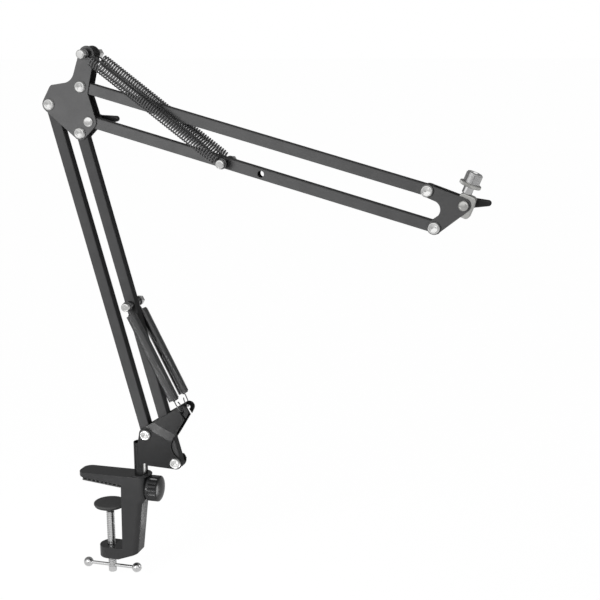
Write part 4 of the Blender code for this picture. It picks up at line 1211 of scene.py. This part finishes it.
@dataclass(frozen=True)
class SwivelBase:
    """The post and the folded base bracket that turn in the clamp, with the lower arm's base pivots."""

    pivots: Pivots
    post_offset: float = -9.5
    wrap_top: float = -10.5
    collar_top: float = -45.0
    tongue_end: float = -4.9
    bottom: float = -33.9
    relief_r: float = 2.4
    left_round: float = 7.5
    right_round: float = 7.0
    waist: Circle = (41.0, -10.0, -13.0)
    hook_out: float = 10.0
    across: float = 64.3          # direction across the bend lines, degrees from +X
    bend_start: float = 6.9
    bend_end: float = 18.2
    bend_round: float = 3.0
    bound: float = 90.0
    hook_hole: Circle = (42.2, 29.1, -2.1)
    finger: Circle = (43.4, 29.8, 5.6)
    mouth_left: Point = (44.3, 20.8)
    mouth_right: Point = (46.0, 22.3)
    barb: Point = (42.8, 26.9)
    post_foot: float = 30.0
    wrap_steps: int = 32

    def build(self) -> None:
        """Makes and fits the post, the bracket and both pivots."""
        rim_top = self.pivots.base_left[1] + self.collar_top - GAP
        foot = rim_top - self.post_foot + GAP
        top = self.pivots.base_left[1] + self.wrap_top
        r = LAYERS.plate_in - GAP
        post = [(r - 0.8, foot), (r, foot + 0.8), (r, top - 0.8), (r - 0.3, top - 0.25), (r - 0.8, top)]
        x = self.pivots.base_left[0] + self.post_offset
        # The post's zinc is darkened by painted shade from the bracket's wrap.
        placed(turned(post, 64, origin=(x, 0, 0)), "pivot_post", ZINC_WITH_PAINTED_SHADE, "swivel_base")
        placed(self._bracket(x), "base_bracket", BRACKET_PAINT, "swivel_base", 30)
        fit_pivot("base_upper", self.pivots.base_left, "swivel_base")
        fit_pivot("base_lower", self.pivots.base_right, "swivel_base")

    def _bracket(self, post_x: float) -> Object:
        """Makes the bracket: both cheeks cut out of joggled sheets, joined by a wrap round the post."""
        base = self.pivots.base_left
        link = (self.pivots.base_right[0] - base[0], self.pivots.base_right[1] - base[1])
        relief = self.tongue_end + self.relief_r
        under = self.bottom - 2
        rounds = [(0, 0, self.left_round), (self.post_offset, self.wrap_top, 0), (self.post_offset, under, 0),
                  (self.tongue_end + 0.1, under, 0), (relief + 0.1, self.bottom - GAP, -self.relief_r),
                  (relief + self.relief_r + 0.2, self.bottom, 0), (*link, self.right_round), self.waist,
                  (*self.mouth_left, 0), self.hook_hole, (*self.barb, 0), (*self.mouth_right, 0), self.finger]
        cheek = belt([(*shifted(base, (x, z)), r) for x, z, r in rounds], 5)
        bracket = solid("base_bracket_fine", prism(cheek, -self.hook_out - PAST, self.hook_out + PAST))
        sheets = carved(solid("sheets", self._sheet(Side.FRONT)), self._sheet(Side.BACK), "UNION")
        carved(bracket, sheets, "INTERSECT")
        wrap = []
        end = base[0] + self.tongue_end
        for radius, order in ((LAYERS.plate_out, 1), (LAYERS.plate_in, -1)):
            bend = (on_circle(radius, math.pi * k / self.wrap_steps) for k in range(self.wrap_steps + 1))
            arc = [(end, radius), *((post_x - reach, y) for y, reach in bend), (end, -radius)]
            wrap += arc[::order]
        carved(bracket, prism(wrap, base[1] + self.collar_top, base[1] + self.wrap_top, UP), "UNION")
        return eased(bracket, 0.25, 2, 35)

    def _sheet(self, side: Side) -> BMesh:
        """Makes one endless joggled sheet with rounded bends, to cut the cheeks out of."""
        base = self.pivots.base_left
        across = polar(1.0, self.across)
        near, far = LAYERS.plate_out, self.hook_out
        outer = [(-self.bound, near), (self.bend_start, near), (self.bend_end, far), (self.bound, far)]
        bends = [(s, y, self.bend_round if abs(s) < self.bound else 0) for s, y in outer]
        bends += [(s, y - LAYERS.sheet, r and r + 0.6) for s, y, r in reversed(bends)]
        edge = (self.bound * across[1], -self.bound * across[0])
        corners = []
        for share, y in filleted(bends, 6):
            x, z = shifted(shifted(base, across, share), edge, -1)
            corners.append((x, side.value * y, z))
        return extruded(corners, (2 * edge[0], 0, 2 * edge[1]))


@dataclass(frozen=True)
class LowerArm:
    """The two parallel bars of the lower arm and the springs' lower anchor."""

    pivots: Pivots
    tube: SquareTube = SquareTube(11.2)
    anchor_sleeve: float = 2.5

    def build(self) -> None:
        """Makes and fits both bars and the anchor."""
        p = self.pivots
        for side, start, end in (("left", p.base_left, p.elbow_left), ("right", p.base_right, p.elbow_right)):
            placed(self.tube.build(start, end), f"lower_arm_{side}_bar", LOWER_ARM_PAINT, f"lower_{side}_bar")
        SpringAnchor("lower_anchor", p.lower_anchor, "lower_right_bar", self.anchor_sleeve,
                     LAYERS.tube_depth / 2).build()


def cheek_plates(name: str, rounds: Sequence[Circle], body: str) -> None:
    """Makes and fits a pair of flat plates with eased rims, one on each side of the bars.

    Args:
        name: What the plates' nodes start with.
        rounds: The circles that their outline runs round.
        body: The body that they move with.
    """
    for side in Side:
        near, far = sorted((side.value * LAYERS.plate_in, side.value * LAYERS.plate_out))
        sheet = prism(belt(rounds, 4), near, far)
        placed(rounded(sheet, rim_edges(sheet), 0.3, 3), f"{name}_{side.label}", UPPER_ARM_PAINT, body)


@dataclass(frozen=True)
class Elbow:
    """The elbow plates with their fasteners, the springs' top anchor and the elbow's wing knob."""

    pivots: Pivots
    anchor_round: float = 8.0
    left_hollow: Circle = (15.5, 34.0, -13.0)
    left_shoulder: Circle = (5.2, 14.3, 5.0)
    left_round: float = 7.6
    bottom_round: float = 7.0
    knob_round: float = 8.2
    right_hollow: Circle = (6.4, 28.0, -6.0)
    anchor_sleeve: float = 4.9
    head_r: float = 5.0
    head_height: float = 2.4
    wing_turn: float = 5.0

    def build(self) -> None:
        """Makes and fits every piece."""
        p = self.pivots
        left, knob = p.elbow_left, p.boom_bottom
        rounds = [(*p.top_anchor, self.anchor_round),
                  (*shifted(left, self.left_hollow[:2]), self.left_hollow[2]),
                  (*shifted(left, self.left_shoulder[:2]), self.left_shoulder[2]), (*left, self.left_round),
                  (*p.elbow_right, self.bottom_round), (*knob, self.knob_round),
                  (*shifted(knob, self.right_hollow[:2]), self.right_hollow[2])]
        cheek_plates("elbow_plate", rounds, "elbow")
        for name, centre in (("left", left), ("bottom", p.elbow_right), ("top", p.boom_top)):
            fit_pivot(f"elbow_{name}", centre, "elbow")
        bolt = FASTENERS.domed_bolt(knob, self.head_r, self.head_height)
        placed(bolt, "elbow_clamp_bolt", ZINC, "elbow")
        SpringAnchor("top_anchor", p.top_anchor, "elbow", self.anchor_sleeve, LAYERS.plate_out).build()
        WingKnob().build("elbow_wing_knob", knob, self.wing_turn, "elbow_wing")


@dataclass(frozen=True)
class UpperArm:
    """The two parallel bars of the upper arm, the springs' boom anchor and the spare hole."""

    pivots: Pivots
    tube: SquareTube = SquareTube(10.8)
    anchor_sleeve: float = 2.5
    spare_hole: float = 183.9     # along the bottom bar from the elbow

    def build(self) -> None:
        """Makes and fits both bars and the anchor."""
        p = self.pivots
        placed(self.tube.build(p.boom_top, p.head_top), "upper_arm_top_bar", UPPER_ARM_PAINT, "upper_top_bar")
        bottom = solid("bottom", self.tube.build(p.boom_bottom, p.head_bottom))
        along = (Vector(p.head_bottom) - Vector(p.boom_bottom)).normalized()
        hole = in_space(shifted(p.boom_bottom, tuple(along), self.spare_hole))
        drilled(bottom, FASTENERS.hole_r, THROUGH, origin=hole)
        placed(bottom, "upper_arm_bottom_bar", UPPER_ARM_PAINT, "upper_bottom_bar")
        SpringAnchor("boom_anchor", p.boom_anchor, "upper_bottom_bar", self.anchor_sleeve,
                     LAYERS.tube_depth / 2).build()


@dataclass(frozen=True)
class Head:
    """The head plates, the tilting block with the microphone's stud and ring, and the tilt's wing knob."""

    pivots: Pivots
    tilt_round: float = 6.8
    top_round: float = 6.0
    notch: Circle = (4.0, -17.3, -8.6)
    bottom_round: float = 6.8
    tilt: float = 22.0            # degrees that the stud leans to the right
    block: tuple[float, float, float, float] = (-7.5, 8.9, -11.4, 10.3)
    block_corner: float = 4.0
    block_edge: float = 1.0
    stud_offset: float = -2.5
    stud_r: float = 4.9
    ring_z: float = 17.6
    ring_r: float = 10.4
    ring_height: float = 3.4
    teeth: int = 56
    tooth_depth: float = 0.45
    thread: ThreadForm = ThreadForm(7.9, 7.3, 0.94)
    thread_length: float = 10.0
    spigot_wall: float = 1.6
    head_r: float = 4.9
    head_height: float = 3.0

    def build(self) -> None:
        """Makes and fits every piece."""
        p = self.pivots
        rounds = [(*p.tilt, self.tilt_round), (*p.head_top, self.top_round),
                  (*shifted(p.head_top, self.notch[:2]), self.notch[2]), (*p.head_bottom, self.bottom_round)]
        cheek_plates("head_plate", rounds, "head")
        fit_pivot("head_top", p.head_top, "head")
        fit_pivot("head_bottom", p.head_bottom, "head")
        bolt = FASTENERS.domed_bolt(p.tilt, self.head_r, self.head_height)
        placed(bolt, "tilt_bolt", SILVER, "head")
        WingKnob().build("tilt_wing_knob", p.tilt, 0.0, "tilt_wing")
        placed(self._block(), "swivel_block", SILVER, "mic_swivel", 30)
        placed(self._stud(), "mic_stud", CHROME, "mic_swivel")
        placed(self._ring(), "lock_ring", SILVER, "ring", 25)

    def _leaned(self, x: float, z: float) -> Point:
        """Gives the place of a point of the leaning block's own frame."""
        return shifted(shifted(self.pivots.tilt, polar(x, -self.tilt)), polar(z, 90 - self.tilt))

    def _on_stud(self, bm: BMesh) -> BMesh:
        """Moves a shape made about Z onto the leaning stud's axis."""
        lean = polar(1.0, 90 - self.tilt)
        return seated(bm, Vector(in_space(lean)), in_space(self._leaned(self.stud_offset, 0)))

    def _block(self) -> Object:
        """Makes the cast block that turns between the plates, drilled for the bolt and the spigot."""
        left, right, bottom, top = self.block
        r = self.block_corner
        rounds = [(left + r, bottom + r), (right - r, bottom + r), (right - r, top - r), (left + r, top - r)]
        half = LAYERS.tube_depth / 2
        bm = prism(belt([(*self._leaned(x, z), r) for x, z in rounds], 5), -half, half)
        block = solid("swivel_block_fine", rounded(bm, rim_edges(bm), self.block_edge, 4))
        bore = FASTENERS.hole_r
        drilled(block, bore, THROUGH, origin=in_space(self.pivots.tilt))
        spigot = [(bore, bore + self.spigot_wall - GAP), (bore, top + PAST)]
        return carved(block, self._on_stud(turned(spigot, 40)))

    def _stud(self) -> BMesh:
        """Makes the stud with its spigot below and the microphone's thread above."""
        spigot = FASTENERS.bolt_r
        seat = self.block[3] + GAP
        thread_foot = self.ring_z - GAP
        top = self.ring_z + self.ring_height + self.thread_length
        foot = [(self.thread.root, thread_foot), (self.stud_r + 0.3, thread_foot),
                (self.stud_r, thread_foot - 0.3), (self.stud_r, seat + 0.5), (self.stud_r - 0.3, seat),
                (spigot, seat), (spigot, FASTENERS.hole_r + self.spigot_wall)]
        head = [(self.thread.root, top - 0.5), (self.thread.root - 0.8, top), (4.2, top), (3.6, top - 1.5)]
        return self._on_stud(self.thread.rod(thread_foot + 0.6, top - 1.0, foot, head, 56))

    def _ring(self) -> BMesh:
        """Makes the knurled lock ring."""
        def knurl(angle: float) -> float:
            """Gives the ring's radius by angle, with straight teeth."""
            return self.ring_r - self.tooth_depth * abs(2 * ((angle * self.teeth / math.tau) % 1.0) - 1)

        bore = self.thread.crest + GAP
        low, high = self.ring_z, self.ring_z + self.ring_height
        inner = self.ring_r - self.tooth_depth - 0.35
        profile = [(bore, low + 0.3), (bore + 0.3, low), (inner, low), (knurl, low + 0.5),
                   (knurl, high - 0.5),
                   (inner, high), (bore + 0.3, high), (bore, high - 0.3)]
        return self._on_stud(turned(profile, self.teeth * 6, hollow=True))


@dataclass(frozen=True)
class SpringPair:
    """A pair of tension springs, each a coil with its near eye and a separate far eye."""

    name: str
    start: Point
    end: Point
    swing_body: str
    slide_body: str
    far_body: str
    mean_r: float
    wire_r: float
    pitch: float
    coil_end: float
    hooked: bool
    coil_start: float = 9.0
    spring_y: float = 13.4
    eye_r: float = 4.6
    eye_start: float = -260.0     # where round the anchor an eye's wire begins, in degrees
    eye_turn: float = 320.0
    eye_steps: int = 40
    eye_bend: float = 1.8         # past an eye, where its wire reaches the spring's axis
    eye_pull: float = 2.4         # how softly it bends there
    shank: float = 12.0           # how far a far eye's straight wire reaches into the coil
    hook_depth: float = 4.2       # from a spring's axis inward to the plate that its far eye hangs in
    points_per_turn: int = 16
    sides: int = 10

    def build(self) -> None:
        """Makes and fits the springs on both sides of the arm."""
        for side in Side:
            node = f"{self.name}_{side.label}"
            frame = self._frame(side.value * self.spring_y)
            length = self._length()
            coil = merged(swept_wire(self._coil(length), self.wire_r, self.sides),
                          swept_wire(self._eye(self.coil_start), self.wire_r, self.sides))
            bmesh.ops.transform(coil, matrix=frame, verts=coil.verts)
            coil = solid(f"{node}_coil", coil)
            dress(coil, SPRING_STEEL, 60)
            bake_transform(coil)
            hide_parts(node)
            LOG.info("%s between %s and %s", coil.name, self.swing_body, self.slide_body)
            far = self._hook(length, -side.value) if self.hooked else self._far_eye(length)
            eye = swept_wire(far, self.wire_r, self.sides)
            bmesh.ops.transform(eye, matrix=frame, verts=eye.verts)
            placed(eye, f"{node}_end", SPRING_STEEL, self.far_body, 60, f"{node}_eye")

    def _length(self) -> float:
        """The distance between the two anchors."""
        return math.dist(self.start, self.end)

    def _frame(self, y: float) -> Matrix:
        """Gives the matrix whose Z axis runs from the first anchor to the second one."""
        along = Vector((self.end[0] - self.start[0], 0, self.end[1] - self.start[1])).normalized()
        across = BACKWARD.cross(along)
        turn = Matrix((across, BACKWARD, along)).transposed().to_4x4()
        return Matrix.Translation((self.start[0], y, self.start[1])) @ turn

    def _coil(self, length: float) -> list[Vector]:
        """Gives the helix, its first and last turns drawn in a little."""
        low, high = self.coil_start, length - self.coil_end
        turns = (high - low) / self.pitch
        points = []
        for k in range(round(turns * self.points_per_turn) + 1):
            turn = k / self.points_per_turn
            edge = min(turn, turns - turn, 1.0)
            r = self.mean_r - (1 - edge) ** 2 * self.mean_r * 0.35
            points.append(Vector((*on_circle(r, math.tau * turn), low + self.pitch * turn)))
        return points

    def _eye(self, coil_edge: float) -> list[Vector]:
        """Gives an open eye round the local origin and its straight shank into the coil along +Z."""
        points = []
        for k in range(self.eye_steps + 1):
            x, z = polar(self.eye_r, self.eye_start + self.eye_turn * k / self.eye_steps)
            points.append(Vector((x, 0, z)))
        corner = points[-1]
        heading = (points[-1] - points[-2]).normalized()
        bend = Vector((0, 0, self.eye_r + self.eye_bend))
        control = corner + heading * self.eye_pull
        for k in range(1, 9):
            share = k / 8
            points.append(corner.lerp(control, share).lerp(control.lerp(bend, share), share))
        points.append(Vector((0, 0, coil_edge + self.shank)))
        return points

    def _far_eye(self, length: float) -> list[Vector]:
        """Gives the far eye, the near one's mirror image."""
        return [Vector((p.x, 0, length - p.z)) for p in self._eye(self.coil_end)]

    def _hook(self, length: float, inward: float) -> list[Vector]:
        """Gives a far loop that passes through the plate's hook hole and comes back inside it to the coil."""
        edge = -self.coil_end
        stations = [(0.0, edge - self.shank), (0.0, edge - 0.6), (-0.25, edge + 2.2), (-0.15, -7.0),
                    (0.1, -3.8), (0.35, -1.9), (0.65, -0.8), (1.0, -0.5), (1.4, -0.9), (1.66, -2.5),
                    (1.75, -5.0), (1.7, -8.0), (1.35, -10.6)]
        depth = inward * self.hook_depth
        knots = [Vector((0, depth * across, length + height)) for across, height in stations]
        points = []
        for i in range(len(knots) - 1):
            a, b = knots[max(i - 1, 0)], knots[i]
            c, d = knots[i + 1], knots[min(i + 2, len(knots) - 1)]
            for k in range(6):
                t = k / 6
                points.append(0.5 * (2 * b + (c - a) * t + (2 * a - 5 * b + 4 * c - d) * t * t
                                     + (3 * b - a - 3 * c + d) * t ** 3))
        points.append(knots[-1])
        return points


@dataclass(frozen=True)
class Lamp:
    """A rectangular soft lamp, in metres and watts."""

    name: str
    place: tuple[float, float, float]
    aim: tuple[float, float, float]
    width: float
    height: float
    power: float
    mirrored: bool = True
    beam: float = 180.0           # full angle, in degrees

    def build(self) -> None:
        """Hangs the lamp, turned to its aim and out of the camera's sight."""
        data = bpy.data.lights.new(self.name, "AREA")
        data.shape = "RECTANGLE"
        data.size = self.width
        data.size_y = self.height
        data.energy = self.power
        data.spread = math.radians(self.beam)
        lamp = linked(self.name, data)
        lamp.location = self.place
        lamp.rotation_euler = (Vector(self.aim) - lamp.location).to_track_quat("-Z", "Y").to_euler()
        lamp.visible_camera = False
        lamp.visible_glossy = self.mirrored


@dataclass(frozen=True)
class Studio:
    """The camera, the lamps, the pale floor and the white surroundings, in metres."""

    eye: tuple[float, float, float] = (0.5249, -1.0891, 0.4595)
    aim: tuple[float, float, float] = (0.2128, 0.0, 0.2081)
    roll: float = -0.39
    lens: float = 71.19
    sensor: float = 36.0
    floor_z: float = -0.112
    floor_half: float = 30.0
    shadow_share: float = 0.06    # of the floor's own shading in what the camera sees of it
    floor_colour: Colour = (0.8, 0.8, 0.8)
    floor_white: float = 1.05
    floor_mirrored: float = 0.42   # share of that white that metal sees
    ambient: float = 0.09
    mirrored: tuple[float, float] = (0.2, 1.0)      # that metal sees around the soft box and in it
    soft_box: Place = (0.02, -0.99, -0.1)
    soft_span: tuple[float, float] = (88.0, 52.0)   # degrees from its middle, at its rim and its heart
    gap: Place = (0.407, -0.914, 0.0)               # direction of the dark gap between soft boxes
    gap_span: tuple[float, float] = (16.0, 11.0)    # degrees from its middle, at its edge and all dark
    gap_open: tuple[float, float] = (1.0, 0.03)     # share of the light that is left beside and in it
    lamps: tuple[Lamp, ...] = (
        Lamp("key", (-0.15, -0.75, 0.40), (-0.03, 0.0, 0.38), 0.35, 0.35, 5.0, mirrored=False),
        Lamp("strip", (0.096, 0.10, -0.094), (0.043, 0.0, -0.06), 0.03, 0.03, 0.0011, beam=34.0),
        Lamp("card", (-0.034, -0.235, 0.02), (0.058, -0.014, -0.004), 0.05, 0.05, 0.08),
        Lamp("rim", (0.152, 0.036, -0.033), (0.07, -0.012, 0.0), 0.03, 0.05, 0.026),
        Lamp("crease", (-0.049, -0.104, -0.054), (0.06, -0.012, 0.085), 0.05, 0.05, 0.0055, beam=40.0),
    )

    def build(self) -> None:
        """Sets up everything."""
        self._camera()
        for lamp in self.lamps:
            lamp.build()
        self._floor()
        self._world()
        bpy.context.scene.view_settings.view_transform = "Standard"

    def _camera(self) -> None:
        """Places the camera."""
        data = bpy.data.cameras.new("camera")
        data.lens = self.lens
        data.sensor_width = self.sensor
        data.clip_start = 0.01
        data.clip_end = 100.0
        camera = linked("camera", data)
        ahead = (Vector(self.aim) - Vector(self.eye)).normalized()
        right = ahead.cross(UP).normalized()
        above = right.cross(ahead)
        angle = math.radians(self.roll)
        right = right * math.cos(angle) + above * math.sin(angle)
        above = right.cross(ahead)
        turn = Matrix((right, above, -ahead)).transposed().to_4x4()
        camera.matrix_world = Matrix.Translation(self.eye) @ turn
        bpy.context.scene.camera = camera

    def _floor(self) -> None:
        """Lays the pale floor, which looks white and keeps a trace of the stand's shadow."""
        mesh = bpy.data.meshes.new("floor")
        signs = ((-1, -1), (1, -1), (1, 1), (-1, 1))
        corners = [(x * self.floor_half, y * self.floor_half, self.floor_z) for x, y in signs]
        mesh.from_pydata(corners, [], [(0, 1, 2, 3)])
        material = bpy.data.materials.new("floor")
        material.use_nodes = True
        graph = Graph(material.node_tree)
        graph.tree.nodes.clear()
        matte = graph.add("BsdfDiffuse", Color=(*self.floor_colour, 1.0))
        white = graph.add("Emission", Strength=self.floor_white)
        shown, glossy = graph.rays()
        share = graph.maths("MAXIMUM", graph.maths("MULTIPLY", shown, 1 - self.shadow_share),
                            graph.maths("MULTIPLY", glossy, self.floor_mirrored))
        mix = graph.add("MixShader", Fac=share)
        graph.feed(mix.inputs[1], matte.outputs["BSDF"])
        graph.feed(mix.inputs[2], white.outputs["Emission"])
        graph.add("OutputMaterial", Surface=mix.outputs["Shader"])
        mesh.materials.append(material)
        floor = linked("floor", mesh)

    @staticmethod
    def _cone(graph: Graph, axis: Place, span: tuple[float, float],
              values: tuple[float, float]) -> NodeSocket:
        """Gives a value that changes smoothly from one to another as a ray's direction nears an axis.

        Args:
            graph: The world's nodes.
            axis: The direction.
            span: Angles from it, in degrees, at which the change begins and ends.
            values: The values there.

        Returns:
            The socket of the value.
        """
        near = graph.add("VectorMath")
        near.operation = "DOT_PRODUCT"
        graph.feed(near.inputs[0], graph.add("TexCoord").outputs["Generated"])
        graph.feed(near.inputs[1], axis)
        cosines = tuple(math.cos(math.radians(angle)) for angle in span)
        return graph.mapped(near.outputs["Value"], cosines, values, smooth=True)

    def _world(self) -> None:
        """Makes the surroundings white to look at, soft boxes to metal, and a low grey light to the rest."""
        world = bpy.data.worlds.new("studio")
        world.use_nodes = True
        graph = Graph(world.node_tree)
        background = graph.tree.nodes["Background"]
        soft = self._cone(graph, self.soft_box, self.soft_span, self.mirrored)
        gap = self._cone(graph, self.gap, self.gap_span, self.gap_open)
        shown, glossy = graph.rays()
        light = graph.between(glossy, self.ambient, graph.maths("MULTIPLY", soft, gap))
        graph.feed(background.inputs["Color"], (1.0, 1.0, 1.0, 1.0))
        graph.feed(background.inputs["Strength"], graph.between(shown, light, 1.0))
        bpy.context.scene.world = world


def main() -> None:
    """Builds the stand from the desk up, then the studio."""
    logging.basicConfig(level=logging.INFO, format="%(name)s: %(message)s")
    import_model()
    pivots = Pivots.of_frame()
    base = SwivelBase(pivots)
    hook = shifted(pivots.base_left, base.hook_hole[:2])
    assemblies = [
        DeskClamp(), ClampScrew(), LockKnob(), base, LowerArm(pivots), Elbow(pivots), UpperArm(pivots),
        Head(pivots),
        SpringPair("upper_spring", pivots.top_anchor, pivots.boom_anchor, "upper_springs",
                   "upper_spring_ends", "upper_bottom_bar",
                   mean_r=5.2, wire_r=0.76, pitch=2.74, coil_end=6.4, hooked=False),
        SpringPair("lower_spring", pivots.lower_anchor, hook, "lower_springs",
                   "lower_spring_ends", "swivel_base",
                   mean_r=5.1, wire_r=0.6, pitch=1.24, coil_end=14.2, hooked=True),
        Studio(),
    ]
    for assembly in assemblies:
        assembly.build()
        LOG.info("%s is built", type(assembly).__name__)


if __name__ == "__main__":
    main()
